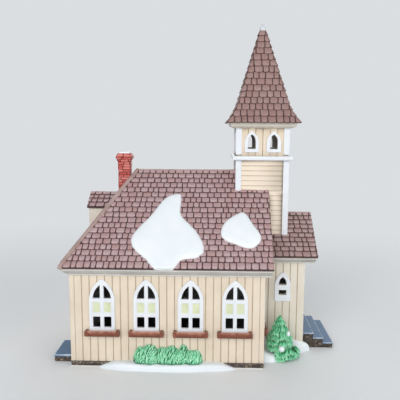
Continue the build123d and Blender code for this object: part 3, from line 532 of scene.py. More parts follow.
def shingled(name, *stops):
    """Paint of single shingles, each of a slightly different hue."""
    hues = [(0.0, (1.0, 0.95, 0.93, 1)), (0.3, (1.0, 0.98, 0.97, 1)), (0.7, (0.99, 1.0, 1.0, 1)),
            (1.0, (0.96, 0.96, 0.98, 1))]
    return painted(name, tones(*stops), 260, 0.5, 0.35, worn_and_shaded(0.07, 0.26), hues=hues)


wall_tones = tones((0.3, 219, 204, 182), (0.5, 225, 210, 189), (0.7, 230, 216, 196))
cream_wall = painted("cream_wall", wall_tones, 60, 0.42)
wing_cream = washed("wing_cream", (220, 211, 195), (228, 220, 206), 60, 0.42)
tower_cream = washed("tower_cream", (219, 203, 180), (228, 213, 193), 60, 0.42)
# Painted shade for the recesses of the wall's board grooves.
groove_shade = washed("groove_shade", (184, 165, 140), (200, 182, 159), 120, 0.6)
white_trim = washed("white_trim", (224, 228, 233), (233, 236, 240), 90, 0.35)
pane_yellow = washed("pane_yellow", (206, 212, 172), (222, 227, 192), 200, 0.3)
cornice_grey = washed("cornice_grey", (202, 199, 193), (222, 219, 213), 90, 0.42)
# Painted shade for the cornices' faces that look down.
cornice_shade = washed("cornice_shade", (182, 178, 172), (200, 196, 190), 90, 0.5)
tower_grey = washed("tower_grey", (196, 188, 173), (212, 205, 192), 90, 0.42)
shingle = shingled("shingle", (0.12, 68, 43, 40), (0.4, 122, 91, 90), (0.66, 168, 136, 137),
                   (0.82, 187, 156, 157), (1.0, 219, 198, 198))
spire_shingle = shingled("spire_shingle", (0.2, 70, 46, 42), (0.5, 112, 83, 77), (0.8, 148, 117, 112),
                         (0.92, 162, 132, 127), (1.0, 184, 158, 153))
wing_shingle = shingled("wing_shingle", (0.12, 66, 43, 40), (0.4, 116, 88, 84), (0.66, 158, 129, 126),
                        (0.82, 174, 146, 143), (1.0, 208, 187, 184))
shingle_joint = washed("shingle_joint", (58, 36, 33), (84, 58, 53), 200, 0.6)
cap_strip = washed("cap_strip", (160, 134, 128), (186, 163, 157), 140, 0.48)
snow_white = washed("snow_white", (235, 242, 246), (242, 247, 250), 80, 0.45, 0.15)
# Darker copy of the snow white for the front drift, which faces the lamps: painted shade.
bank_snow_shaded = washed("bank_snow_shaded", (225, 232, 238), (233, 239, 243), 80, 0.45, 0.15)
tip_frost = washed("tip_frost", (190, 196, 200), (212, 217, 220), 300, 0.5, 0.2)
stone_tones = tones((0.2, 24, 18, 14), (0.5, 50, 40, 33), (0.75, 84, 72, 60), (1.0, 138, 122, 106))
stone = painted("stone", stone_tones, 500, 0.55, 0.5, worn_and_shaded(0.35, 0.4))
mortar = washed("mortar", (36, 27, 22), (58, 46, 38), 240, 0.65, 0.3)
bare_inside = washed("bare_inside", (228, 226, 220), (240, 238, 233), 100, 0.6)
bare_rim = washed("bare_rim", (214, 212, 206), (230, 228, 222), 100, 0.5)
slate_tones = tones((0.2, 46, 72, 102), (0.5, 64, 98, 132), (0.8, 90, 124, 156), (1.0, 198, 209, 222))
slate_grey = painted("slate_grey", slate_tones, 260, 0.6, 0.3, worn_and_shaded(0.1, 0.5), 0.05)
brick_tones = tones((0.25, 94, 17, 12), (0.6, 150, 38, 31), (0.85, 180, 62, 54), (1.0, 212, 122, 113))
brick_red = painted("brick_red", brick_tones, 320, 0.5, 0.4, worn_and_shaded(0.3, 0.3))
brick_joint = washed("brick_joint", (70, 18, 13), (98, 32, 25), 240, 0.6)
leaf_tones = tones((0.12, 20, 84, 47), (0.4, 62, 158, 105), (0.7, 110, 203, 152), (1.0, 184, 241, 207))
foliage = painted("foliage", leaf_tones, 300, 0.4, 0.2, worn_and_shaded(0.24, 0.26))
leaf_shade = washed("leaf_shade", (24, 84, 50), (44, 114, 72), 300, 0.5)
planter_tones = tones((0.25, 58, 25, 15), (0.55, 98, 47, 30), (0.85, 132, 72, 50), (1.0, 178, 124, 101))
planter = painted("planter", planter_tones, 380, 0.4, 0.3, worn_and_shaded(0.15, 0.45))
door_brown = washed("door_brown", (98, 60, 42), (132, 86, 62), 260, 0.42)
white_plastic = polished("white_plastic", rgb(232, 230, 222), 0.35, 0.0, 120)
brass = polished("brass", rgb(206, 164, 92), 0.3, 1.0, 300)
spring_steel = polished("spring_steel", rgb(182, 184, 188), 0.3, 1.0, 300)
bulb_clear = clear_glass("bulb_clear")


# Roofs


def slope_tiles(name, corners, paint, skip):
    """Single shingles over one roof slope; corners run eave left, eave right, ridge right, ridge left."""
    eave_left, eave_right, ridge_right, ridge_left = corners
    along = (eave_right - eave_left).normalized()
    climb = ridge_left - eave_left
    climb -= along * climb.dot(along)
    length = climb.length
    up = climb.normalized()
    normal = along.cross(up)
    lean = course_step * up.z / normal.z
    count = max(1, round(length / course_exposure))
    exposure = length / count
    run = (eave_right - eave_left).length
    ridge_start = (ridge_left - eave_left).dot(along)
    ridge_end = (ridge_right - eave_left).dot(along)
    region = [Vector((0, -2 * eave_drop)), Vector((run, -2 * eave_drop)), Vector((ridge_end, length)),
              Vector((ridge_start, length))]
    if ridge_start > hip_inset:
        region[0].x += hip_inset
        region[3].x += hip_inset
    if run - ridge_end > hip_inset:
        region[1].x -= hip_inset
        region[2].x -= hip_inset
    if region[3].x > region[2].x:
        share = 1 - 2 * hip_inset / run
        point = Vector((hip_inset + ridge_start * share, length * share))
        region[2:] = [point, point.copy()]
    bm, layers = tiled_mesh()
    for course in range(count):
        foot = course * exposure
        head = foot + exposure
        lift = course_gap if course else -eave_drop

        def to_world(spot):
            height = course_step * (head - spot.y) / (exposure - lean)
            return eave_left + along * spot.x + up * spot.y + normal * height

        for left, right in spread(0, run, tile_width, 0.3):
            low = foot + lift + rng.uniform(-tile_waver, tile_waver)
            outline = rounded_tile(left, right - tile_gap, low, head + course_step, tile_round)
            outline = clip(outline, region)
            if not outline or area(outline) < least_tile or skip(to_world(centre(outline))):
                continue
            thickness = tile_thickness * rng.uniform(0.8, 1.3)
            add_tile(bm, layers, outline, to_world, normal, thickness, tile_bevel, tile_sink)
    place(name, bm, [paint], crisp=tile_crisp)


def beside_ridge(left, right, eave_y, ridge_y, eave_z, ridge_z):
    """Corners of one slope of a gabled roof, seen from outside."""
    if eave_y > ridge_y:
        left, right = right, left
    return (Vector((left, eave_y, eave_z)), Vector((right, eave_y, eave_z)),
            Vector((right, ridge_y, ridge_z)), Vector((left, ridge_y, ridge_z)))


roof_low, roof_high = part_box("nave_roof_front")
hip_low, hip_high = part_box("nave_roof_hip")
nave_run = -roof_low.y
nave_eave_z = roof_low.z + eave_edge
nave_ridge_z = hip_high.z
hip_eave_x = hip_low.x
hip_end_x = hip_high.x
gable_x = roof_high.x
tower_low, tower_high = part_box("tower_front_wall")
tower_rear_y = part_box("tower_rear_wall")[1].y
tower_x = (tower_low.x + tower_high.x) / 2
tower_y = (tower_low.y + tower_rear_y) / 2
dormer_wall_low, dormer_wall_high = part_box("dormer_walls")
dormer_low, dormer_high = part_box("dormer_roof_front")
hidden = 2 * mm


def in_tower(point):
    """True well inside the tower's walls, where no shingle shows."""
    across = tower_low.x + hidden < point.x < tower_high.x - hidden
    return across and tower_low.y + hidden < point.y < tower_rear_y - hidden


def in_dormer(point):
    """True well inside the dormer, where no shingle shows."""
    side = abs(point.y)
    roof_z = dormer_high.z - (dormer_high.z - dormer_low.z) * side / -dormer_low.y
    between = point.x > dormer_wall_low.x and side < dormer_wall_high.y - tile_width / 2
    return between and point.z < roof_z - hidden


def under_hip(point):
    """True below the hip's own shingles."""
    rise = (point.x - hip_eave_x) / (hip_end_x - hip_eave_x) * (nave_ridge_z - nave_eave_z)
    return point.z < nave_eave_z + rise - course_step


front_left_eave = Vector((hip_eave_x, -nave_run, nave_eave_z))
front_right_eave = Vector((gable_x, -nave_run, nave_eave_z))
rear_left_eave = Vector((hip_eave_x, nave_run, nave_eave_z))
rear_right_eave = Vector((gable_x, nave_run, nave_eave_z))
ridge_hip = Vector((hip_end_x, 0, nave_ridge_z))
ridge_gable = Vector((gable_x, 0, nave_ridge_z))
front_corners = (front_left_eave, front_right_eave, ridge_gable, ridge_hip)
rear_corners = (rear_right_eave, rear_left_eave, ridge_hip, ridge_gable)
slope_tiles("nave_front_shingles", front_corners, shingle, in_tower)
slope_tiles("nave_rear_shingles", rear_corners, shingle, in_tower)
slope_tiles("hip_shingles", (rear_left_eave, front_left_eave, ridge_hip, ridge_hip), shingle, in_dormer)

wing_low, wing_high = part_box("entry_roof_front")
wing_rear_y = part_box("entry_roof_rear")[1].y
for side, eave_y in (("front", wing_low.y), ("rear", wing_rear_y)):
    corners = beside_ridge(wing_low.x, wing_high.x, eave_y, tower_y, wing_low.z + eave_edge, wing_high.z)
    slope_tiles(f"entry_{side}_shingles", corners, wing_shingle, in_tower)
for side, eave_y in (("front", dormer_low.y), ("rear", -dormer_low.y)):
    corners = beside_ridge(dormer_low.x, hip_end_x, eave_y, 0, dormer_low.z + eave_edge, dormer_high.z)
    slope_tiles(f"dormer_{side}_shingles", corners, shingle, under_hip)

# Spire
spire_low, spire_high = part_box("spire")
spire_base_z = spire_low.z
spire_tip_z = spire_high.z
spire_apex_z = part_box("spire_snow_tip")[1].z
spire_base_half = (spire_high.x - spire_low.x) / 2 - course_step
spire_kink_half = spire_base_half - spire_flare_reach
spire_taper = spire_kink_half / (spire_apex_z - spire_base_z - spire_flare_height)


def spire_half(z):
    """Half width of the spire at a height, curving outwards below its kink."""
    straight = spire_taper * (spire_apex_z - z)
    below = max(0.0, spire_base_z + spire_flare_height - z) / spire_flare_height
    spread_out = spire_base_half - spire_taper * (spire_apex_z - spire_base_z)
    return straight + spread_out * below * below


def spire_tiles():
    """Single shingles on the four sides of the spire, course by course."""
    beyond = 0.5 * mm
    overlap = 0.3 * mm
    bm, layers = tiled_mesh()
    count = round((spire_tip_z - spire_base_z) / course_exposure)
    rise = (spire_tip_z - spire_base_z) / count
    for out, across in four_sides():
        for course in range(count):
            foot_z = spire_base_z + course * rise
            foot_out = spire_half(foot_z) + course_step
            head_out = spire_half(foot_z + rise)
            normal = (out * rise + Vector((0, 0, foot_out - head_out))).normalized()
            flare = (foot_out - head_out) / rise * beyond

            def to_world(spot):
                reach = foot_out + (head_out - foot_out) * spot.y / rise
                return Vector((tower_x, tower_y, foot_z + spot.y)) + out * reach + across * spot.x

            region = trapezoid(foot_out + flare, -beyond, head_out - flare, rise + beyond)
            for left, right in spread(-foot_out, foot_out, tile_width, 0.25):
                low = rng.uniform(-0.35, -0.1) * mm
                outline = rounded_tile(left, right - tile_gap, low, rise + overlap, tile_round)
                outline = clip(outline, region)
                if outline:
                    thickness = tile_thickness * rng.uniform(0.7, 1.1)
                    add_tile(bm, layers, outline, to_world, normal, thickness, tile_bevel, tile_sink)
    place("spire_shingles", bm, [spire_shingle], crisp=tile_crisp)


def hip_ends():
    """Rounded ends of the hip caps, turned down over the corners of the eaves."""
    half = 1.5 * mm
    foot = 0.7
    columns = 9
    down = Vector((0, 0, -1))
    bm = bmesh.new()
    for corner in (front_left_eave, rear_left_eave):
        climb = (ridge_hip - corner).normalized()
        outward = Vector((-climb.x, -climb.y, 0)).normalized()
        side = outward.cross(down)
        over = side.cross(climb)
        if over.z < 0:
            over.negate()
        slanted = (over + outward * 0.4).normalized()
        sections = ((climb * 4.5, over, 1.32), (climb * 1.2, over, 1.32), (climb * 0.3, slanted, 1.25),
                    (climb * 0, over + outward, 0.8), (down * 0.5, outward, 0.8), (down * 0.9, outward, 0.6))

        def vertex(row, column):
            shift, lift, crest = sections[row]
            angle = math.pi * column / (columns - 1)
            reach = (crest + foot) * math.sin(angle) ** 0.7 - foot
            return bm.verts.new(corner + side * half * math.cos(angle) + (shift + lift * reach) * mm)

        sheet(bm, len(sections), columns, vertex, caps=(-1,))
    place("hip_cap_ends", bm, [cap_strip])


spire_tiles()
for roof in ("nave_roof_front", "nave_roof_rear", "nave_roof_hip", "entry_roof_front", "entry_roof_rear",
             "dormer_roof_front", "dormer_roof_rear", "spire"):
    repaint(roof, shingle_joint)
soften("hip_caps", thick_edge, [cap_strip])
hip_ends()
soften("ridge_caps", plain_edge, [cap_strip])


# Walls and trim


outer_faces = {"front": (1, 0), "rear": (1, 1), "left": (0, 0), "right": (0, 1), "end": (0, 1)}


def outer_face(node_name, side):
    """Axis that a side faces along, and where its outer face lies on it."""
    axis, end = outer_faces[side]
    return axis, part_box(node_name)[end][axis]


def grooves(wall, origin, side):
    """Picks painted shade for faces in a wall's board grooves, and bare porcelain for its inner face."""
    outer_axis, outer = outer_face(wall, side)
    shallowest = 0.02 * mm
    deepest = groove_depth + 0.1 * mm

    def pick(face):
        spot = face.calc_center_median()
        depth = abs(spot[outer_axis] - outer)
        if depth > wall_inside and abs(face.normal[outer_axis]) > facing_share:
            return 2
        along = 1 - outer_axis
        beside = (spot[along] - origin[along] + board_pitch / 2) % board_pitch - board_pitch / 2
        return 1 if shallowest < depth < deepest and abs(beside) < groove_half else 0
    return pick


def niche_paint(face):
    """White reveal and yellow pane for the dormer's blind lancet."""
    shallowest = 0.05 * mm
    deepest = 1.2 * mm
    spot = face.calc_center_median()
    depth = spot.x - dormer_wall_low.x
    if abs(spot.y) > dormer_wall_high.y / 2 or not shallowest < depth < deepest:
        return 0
    return 2 if face.normal.x < -facing_share else 1


def under_shade(face):
    """Picks painted shade for faces that look down."""
    return 1 if face.normal.z < -0.3 else 0


def panes(window, side):
    """Picks the yellow of the blind panes, which lie behind the frame's face."""
    outer_axis, outer = outer_face(window, side)

    def pick(face):
        recess = abs(face.calc_center_median()[outer_axis] - outer)
        level = abs(face.normal[outer_axis]) > facing_share
        return 1 if level and abs(recess - pane_recess) < 0.03 * mm else 0
    return pick


string_low, string_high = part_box("tower_string_course")
# The darkest clapboard tone is the painted shadow line under each board's butt.
clapboard_tones = tones((0.15, 140, 110, 82), (0.42, 206, 186, 160), (0.68, 236, 219, 197),
                        (0.95, 244, 230, 211))
clapboard = painted("clapboard", clapboard_tones, 60, 0.42,
                    factor=shadow_lines("Z", string_low.z, clapboard_exposure, 0.24))


def tower_paint(pick):
    """Clapboards below the string course, and above it boards that another function picks."""
    return lambda face: 0 if face.calc_center_median().z < string_low.z else 1 + pick(face)


wing_mid_x = (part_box("nave_right_wall")[1].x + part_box("entry_end_wall")[1].x) / 2
for block, sides, origin, paints in (
    ("nave", ("front", "rear", "left", "right"), (0, 0), [cream_wall]),
    ("entry", ("front", "rear", "end"), (wing_mid_x, tower_y), [wing_cream]),
    ("tower", ("front", "rear", "left", "right"), (tower_x, tower_y), [clapboard, tower_cream]),
):
    for side in sides:
        wall = f"{block}_{side}_wall"
        pick = grooves(wall, origin, side)
        if block == "tower":
            pick = tower_paint(pick)
        width = 0 if block == "tower" else wall_edge
        # Board grooves take painted shade.
        soften(wall, width, [*paints, groove_shade, bare_inside], paint=pick)

soften("dormer_walls", trim_edge, [wing_cream, white_trim, pane_yellow], paint=niche_paint)
string_profile = ((-0.4, 0.05), (0.7, 0.1), (1.2, 0.5), (1.3, 1.2), (1.3, 2.0), (1.2, 2.7), (0.7, 3.15),
                  (-0.4, 3.2))
band("tower_string_band", string_low, string_high, string_profile, white_trim,
     "tower_string_course")
for trim in ("tower_corner_boards", "belfry_window_frames", "entry_window", "entry_door_frame",
             "side_door_frame"):
    soften(trim, trim_edge, [white_trim])
# Cornice faces that look down take painted shade.
for trim in ("nave_cornice_front", "nave_cornice_rear", "nave_cornice_left", "entry_cornice"):
    soften(trim, small_edge, [cornice_grey, cornice_shade], paint=under_shade)
soften("tower_cornice", trim_edge, [tower_grey])
for window in ("front_windows", "rear_windows", "end_window"):
    pick = panes(window, window.split("_")[0])
    soften(window, trim_edge, [white_trim, pane_yellow], paint=pick)

# Planter boxes and doors


def planter_box(bm, layers, start, along, out, length, depth):
    """Rounded trough between two upright scrolls, from its lower corner on the wall."""
    profile = ((0, 0.12), (0.5, 0), (0.82, 0.08), (0.97, 0.3), (1.0, 0.6), (0.95, 0.9), (0.86, 1.0),
               (0.74, 0.97), (0.66, 0.8), (0, 0.78))
    lug_sections = ((0, 0), (0.8, 0), (0.95, 0.06), (1.0, 0.2))
    columns = 28
    crown_steps = 8
    end_gap = 0.02
    trough_share = 0.94
    sag_scale = 180
    sag_depth = 0.16 * mm
    tone = rng.random()

    def vertex(run, reach, rise, wear_and_shade):
        return dab(bm, layers, start + along * run + out * reach + Vector((0, 0, rise)), wear_and_shade, tone)

    rows = []
    for column in range(columns + 1):
        run = length * (end_gap + (1 - 2 * end_gap) * column / columns)
        sag = noise.noise(Vector((run, start.x, start.y)) * sag_scale) * sag_depth
        deep = depth * trough_share + sag
        tall = box_height + sag
        # Darker towards the foot of the trough, lighter towards its rim.
        rows.append([vertex(run, deep * reach, tall * rise, 0.35 + 0.6 * rise) for reach, rise in profile])
    grid(bm, rows)
    for middle in (lug_width / 2, length - lug_width / 2):
        rings = []
        for reach, inset in lug_sections:
            half = lug_width / 2 * (1 - inset)
            shrink = lug_height * inset * 0.3
            lower = lug_foot + shrink
            crown = lug_height - shrink - half
            outline = [(-half, lower + half * 0.3), (-half * 0.7, lower), (half * 0.7, lower),
                       (half, lower + half * 0.3)]
            for step in range(crown_steps + 1):
                spot = heading(math.pi * step / crown_steps) * half
                outline.append((spot.x, crown + spot.y))
            # Scrolls darker towards the wall, lighter towards the front.
            wear_and_shade = 0.3 + 0.35 * reach
            rings.append([vertex(middle + run, depth * reach, rise, wear_and_shade) for run, rise in outline])
        grid(bm, rings, closed=True, caps=(-1,))


def planter_boxes(node_name, along, out, depth_share):
    """The planter boxes of a CAD node, with scrolled ends."""
    bm, layers = tiled_mesh()
    for low, high in islands(node_name):
        size = high - low
        length = abs(size.dot(along))
        depth = abs(size.dot(out)) * depth_share
        start = Vector([low[axis] if along[axis] + out[axis] >= 0 else high[axis] for axis in range(3)])
        start.z = low.z + box_foot
        planter_box(bm, layers, start, along, out, length, depth)
    place(f"{node_name}_scrolled", bm, [planter], crisp=tile_crisp, stands_for=node_name)


planter_boxes("front_window_boxes", Vector((1, 0, 0)), Vector((0, -1, 0)), 1.0)
planter_boxes("end_window_box", Vector((0, 1, 0)), Vector((1, 0, 0)), 0.75)
for doors in ("entry_doors", "side_door"):
    soften(doors, small_edge, [door_brown])

# Chimney


def brick_faces(name, middle, sections):
    """Rough bricks in running bond round a square shaft, given as heights and half widths."""
    bm, layers = tiled_mesh()
    for (low_z, low_half), (high_z, high_half) in zip(sections, sections[1:]):
        count = max(1, round((high_z - low_z) / brick_height))
        rise = (high_z - low_z) / count
        flare = (high_half - low_half) / (high_z - low_z)

        def half_at(z):
            return low_half + flare * (z - low_z)

        for out, across in four_sides():
            normal = (out - Vector((0, 0, flare))).normalized()

            def to_world(spot):
                return Vector((middle.x, middle.y, spot.y)) + out * half_at(spot.y) + across * spot.x

            for course in range(count):
                foot = low_z + course * rise
                head = foot + rise
                region = trapezoid(half_at(foot), foot, half_at(head), head)
                widest = max(half_at(foot), half_at(head))
                for left, right in spread(-widest, widest, brick_length, 0.35):
                    brick = rounded_tile(left, right - brick_gap, foot + brick_gap, head, brick_edge)
                    outline = clip(brick, region)
                    if outline:
                        thickness = rng.uniform(0.1, 0.45) * mm
                        add_tile(bm, layers, outline, to_world, normal, thickness, brick_edge, brick_edge)
    place(name, bm, [brick_red], crisp=tile_crisp)


stack_low, stack_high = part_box("chimney_stack")
cap_low, cap_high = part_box("chimney_cap")
stack_half = (stack_high.x - stack_low.x) / 2
cap_half = (cap_high.x - cap_low.x) / 2
stack_middle = (stack_low + stack_high) / 2
brick_faces("chimney_bricks", stack_middle, [(stack_low.z, stack_half), (stack_high.z, stack_half)])
cap_sections = [(cap_low.z, stack_half), (cap_low.z + corbel_height, cap_half),
                (cap_high.z, cap_half - chimney_top_inset)]
brick_faces("chimney_cap_bricks", stack_middle, cap_sections)
for part in ("chimney_stack", "chimney_cap"):
    repaint(part, brick_joint)
soften("chimney_snow", thick_edge, [snow_white])

# Foundation, steps and stoop
around = ("front", "right", "rear", "left")


def stone_ring(name, low, high, sides, foot=0.1 * mm):
    """Rough faces of field stones that swell out between dark crevices, on chosen sides of a block."""
    flatten = 1.3
    steepness = 2.0
    rough_scale = 700
    crevice, swollen, rough_height, sunk_edge = 0.12, 0.4, 0.16, -0.1
    bm, layers = tiled_mesh()
    corners = [spot.to_3d() for spot in block_corners(low, high)]
    foot_z = low.z + foot
    rows = max(3, round((high.z - foot_z) / rock_grain))
    for index in (around.index(side) for side in sides):
        start = corners[index]
        along = corners[(index + 1) % 4] - start
        out = along.cross(Vector((0, 0, 1))).normalized()
        columns = max(4, round(along.length / rock_grain))

        def vertex(row, column):
            spot = start + along * (column / columns)
            spot.z = foot_z + (high.z - foot_z) * row / rows
            near, cells = noise.voronoi(Vector((spot.x, spot.y, spot.z * flatten)) / rock_size)
            swell = min(1.0, (near[1] - near[0]) * steepness)
            rough = noise.noise(spot * rough_scale)
            at_edge = row in (0, rows) or column in (0, columns)
            lift = sunk_edge if at_edge else crevice + swollen * swell + rough_height * rough
            wear_and_shade = 0.08 + 0.7 * swell + 0.25 * rough
            return dab(bm, layers, spot + out * lift * mm, wear_and_shade, 0.5 + 0.5 * noise.cell(cells[0] * 9))

        sheet(bm, rows + 1, columns + 1, vertex)
    place(name, bm, [stone])


def slab(name, low, high):
    """Slate tread with worn, wavering edges."""
    bm, layers = tiled_mesh()
    columns, rows = 24, 8
    edge = 0.35 * mm
    waver_scale = 400
    waver_size = 0.18 * mm
    rim = ((edge, low.z, 0.2), (0, low.z + edge / 2, 0.4), (0, high.z - edge, 1.0), (edge, high.z, 0.9),
           (3 * edge, high.z, 0.45))
    corners = block_corners(low, high)
    middle = centre(corners)
    outline = []
    for start, end, count in zip(corners, corners[1:] + corners[:1], (rows, columns, rows, columns)):
        outline += [start.lerp(end, index / count) for index in range(count)]

    def vertex(ring, index):
        inset, z, wear_and_shade = rim[ring]
        spot = outline[index]
        waver = noise.noise(Vector((spot.x, spot.y, z)) * waver_scale) * waver_size
        inward = middle - spot
        spot = spot + Vector([math.copysign(1, along) for along in inward]) * (inset + waver * 0.5)
        return dab(bm, layers, (*spot, z + waver * 0.4), wear_and_shade, 0.5)

    sheet(bm, len(rim), len(outline), vertex, closed=True, caps=(-1, 0))
    place(name, bm, [slate_grey], crisp=glaze_crisp)


nave_base_low, nave_base_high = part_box("nave_foundation")
wing_base_low, wing_base_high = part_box("entry_foundation")
wing_base_x = wing_base_low.x
nave_base_low.x += side_inset
nave_base_high.x -= side_inset
wing_base_low.x -= side_inset


def nave_base_shift(spot):
    """Draws the nave's foundation in under its end walls."""
    return -math.copysign(side_inset, spot.x)


def wing_base_shift(spot):
    """Runs the wing's foundation up to the nave's."""
    return -side_inset if spot.x < wing_base_x + side_inset else 0.0


stone_ring("nave_foundation_stones", nave_base_low, nave_base_high, around, base_rim)
stone_ring("entry_foundation_stones", wing_base_low, wing_base_high, around[:3], base_rim)
rim_profile = ((0, 0), (0.4, 0.05), (0.5, 0.4), (0.4, 0.7), (-0.1, 0.8))
band("nave_foundation_rim", nave_base_low, nave_base_high, rim_profile, bare_rim)
band("entry_foundation_rim", wing_base_low, wing_base_high, rim_profile, bare_rim)
for block, shape in (("nave_foundation", nave_base_shift), ("entry_foundation", wing_base_shift),
                     ("entry_steps", None), ("side_stoop", None)):
    soften(block, block_edge, [mortar], shape=shape)

steps_low, steps_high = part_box("entry_steps")
steps_rear_y = steps_high.y + step_overrun
step_rise = (steps_high.z - steps_low.z) / step_count
for step in range(step_count):
    nose_x = steps_high.x - (step_count - 1 - step) * tread_depth
    back_x = nose_x - tread_depth if step else steps_low.x
    top_z = steps_high.z - step * step_rise
    seat_z = top_z - slab_thickness + slab_lip
    slab(f"step_slab_{step + 1}", Vector((back_x, steps_low.y - slab_lip, seat_z)),
         Vector((nose_x + slab_lip, steps_rear_y + slab_lip, top_z + slab_lip)))
    stone_ring(f"step_stones_{step + 1}", Vector((back_x, steps_low.y, 0)),
               Vector((nose_x, steps_rear_y, seat_z)), around[:3])

stoop_low, stoop_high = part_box("side_stoop")
stoop_high.x += side_inset
stoop_seat_z = stoop_high.z - slab_thickness
slab("stoop_slab", Vector((stoop_low.x - slab_lip, stoop_low.y - slab_lip, stoop_seat_z)),
     Vector((stoop_high.x, stoop_high.y + slab_lip, stoop_high.z + slab_lip)))
stone_ring("stoop_stones", stoop_low, Vector((stoop_high.x, stoop_high.y, stoop_seat_z)),
           ("front", "rear", "left"))

# Snow


def polar_outline(points, count):
    """Middle of some flat points, and their outline's radius at evenly spaced angles."""
    middle = centre(points)
    offsets = [point - middle for point in points]
    angles = [math.atan2(offset.y, offset.x) for offset in offsets]
    even = [full_turn * index / count - math.pi for index in range(count)]
    radii = numpy.interp(even, angles, [offset.length for offset in offsets], period=full_turn)
    return middle, [float(radius) for radius in radii]


def snow_patch(name, points, eave, up, normal, stands_for=None):
    """Puffed patch of snow over an outline on the roof, with a thick lip where it meets the eave."""
    columns = 120
    shares = (1.0, 1.0, 0.985, 0.96, 0.92, 0.86, 0.76, 0.6, 0.4, 0.2, 0.06)
    height = 1.7 * mm
    drape_start = 3 * mm
    drape_drop = 0.9 * mm
    eave_lap = 0.65 * mm
    eave_lip = 0.9 * mm
    lump_scale = 220
    lump_height = 0.12 * mm
    middle, radii = polar_outline(points, columns)
    bm = bmesh.new()

    def vertex(row, column):
        share = shares[row]
        spot = middle + heading(full_turn * column / columns - math.pi) * radii[column] * share
        near_eave = min(1.0, max(0.0, 1 - spot.y / drape_start))
        if near_eave:
            spot.y = -eave_lap + (drape_start + eave_lap) * (1 - near_eave) ** 2
        lift = -near_eave * drape_drop
        if row:
            lump = noise.noise(Vector((spot.x, spot.y, 0)) * lump_scale) * lump_height
            lift = course_step + height * (1 - share ** 9) ** 0.55 + lump + near_eave * eave_lip
        return bm.verts.new(eave + Vector((spot.x, 0, 0)) + up * spot.y + normal * lift)

    sheet(bm, len(shares), columns, vertex, closed=True, caps=(-1,))
    place(name, bm, [snow_white], stands_for=stands_for)


def roof_snow():
    """The two patches on the front slope, on the outlines of their solids."""
    up = (ridge_gable - front_right_eave).normalized()
    normal = Vector((1, 0, 0)).cross(up)
    eave = Vector((0, -nave_run, nave_eave_z))
    rested = []
    for vert in nodes["roof_snow"].data.vertices:
        offset = vert.co - eave
        if abs(offset.dot(normal) - course_step) < 0.05 * mm:
            rested.append(Vector((offset.x, offset.dot(up))))
    rested.sort(key=lambda spot: spot.x)
    gap = max(range(1, len(rested)), key=lambda index: rested[index].x - rested[index - 1].x)
    snow_patch("large_roof_snow", rested[:gap], eave, up, normal, "roof_snow")
    snow_patch("small_roof_snow", rested[gap:], eave, up, normal)


def spire_snow():
    """Frosted point of the spire, a rounded cone that carries on its taper."""
    sunk = 1.0 * mm
    overhang = 0.75 * mm
    foot_z = spire_tip_z - sunk
    half = spire_half(foot_z) + overhang
    rings, columns = 14, 24
    bm = bmesh.new()

    def vertex(ring, column):
        share = (ring / rings) ** 0.8
        facing = heading(full_turn * column / columns)
        squareness = (abs(facing.x) ** 3 + abs(facing.y) ** 3) ** (-1 / 3)
        lump = 1 + 0.03 * noise.noise(Vector((facing.x, facing.y, 3 * share)) * 1.5)
        width = half * (1 - share ** 2.2) ** 0.75
        spot = Vector((tower_x, tower_y)) + facing * width * squareness * lump
        return bm.verts.new((*spot, foot_z + (spire_apex_z - foot_z) * share))

    sheet(bm, rings, columns, vertex, closed=True, caps=(0, -1))
    place("spire_snow_lump", bm, [tip_frost], stands_for="spire_snow_tip")


def front_bank():
    """Snow drifted against the front foundation, thinning out at both ends."""
    low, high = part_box("front_snow_bank")
    wall_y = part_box("nave_front_wall")[0].y
    columns, rows = 72, 24
    top_z = high.z + 0.8 * mm
    end_taper = 0.25
    ripple = 0.1
    ripple_scale = 60
    lump_scale = 160
    lump_height = 0.35 * mm
    half = (high.x - low.x) / 2
    bm = bmesh.new()

    def vertex(row, column):
        out = row / rows
        share = 2 * column / columns - 1
        x = (low.x + high.x) / 2 + half * share
        swell = math.sqrt(max(0.0, 1 - share * share))
        reach = (high.y - low.y) * swell * (1 + ripple * noise.noise(Vector((x * ripple_scale, 0, 3))))
        crest = top_z * min(1.0, (1 - abs(share)) / end_taper) ** 0.7
        lump = noise.noise(Vector((x, out * 0.02, 0)) * lump_scale) * lump_height * out * (1 - out) * 4
        y = wall_y - (wall_y - high.y + reach) * out
        return bm.verts.new((x, y, crest * (1 - out ** 7) ** 0.7 + lump))

    sheet(bm, rows + 1, columns + 1, vertex)
    # The front drift takes the darker copy of the snow white, painted shade.
    place("front_snow_drift", bm, [bank_snow_shaded], stands_for="front_snow_bank")


bank_corner = Vector((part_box("nave_right_wall")[1].x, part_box("entry_front_wall")[0].y))
bank_depth = bank_corner.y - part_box("corner_snow_bank")[0].y
bank_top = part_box("corner_snow_bank")[1].z + 0.5 * mm


def bank_edge(angle):
    """Reach of the corner's snow at an angle from the wing's wall, with a tongue past the wing's corner."""
    tongue_length = 7.2 * mm
    tongue_width = math.radians(8)
    along_nave = bank_depth - 1.2 * mm
    more_along_wing = 6.2 * mm
    tongue = tongue_length * min(1.25, math.exp(-angle / tongue_width))
    return along_nave + more_along_wing * math.cos(angle) ** 2 + tongue


def bank_height(spot):
    """Height of the corner's snow over a spot: a thick edge, and a slope up to both walls."""
    wing_crest = 4.5 * mm
    wing_slope = 8.5 / 45
    wing_end = 45 * mm
    wing_fade = 6 * mm
    nave_crest = 3 * mm
    nave_fade = 5 * mm
    edge_power = 14
    offset = spot - bank_corner
    out = min(1.0, offset.length / bank_edge(math.atan2(-offset.y, offset.x)))
    on_wing = min(wing_crest, wing_slope * (wing_end - offset.x)) * math.exp(min(0.0, offset.y) / wing_fade)
    on_nave = nave_crest * math.exp(-max(0.0, offset.x) / nave_fade)
    return (bank_top + max(on_wing, on_nave)) * (1 - out ** edge_power) ** 0.5


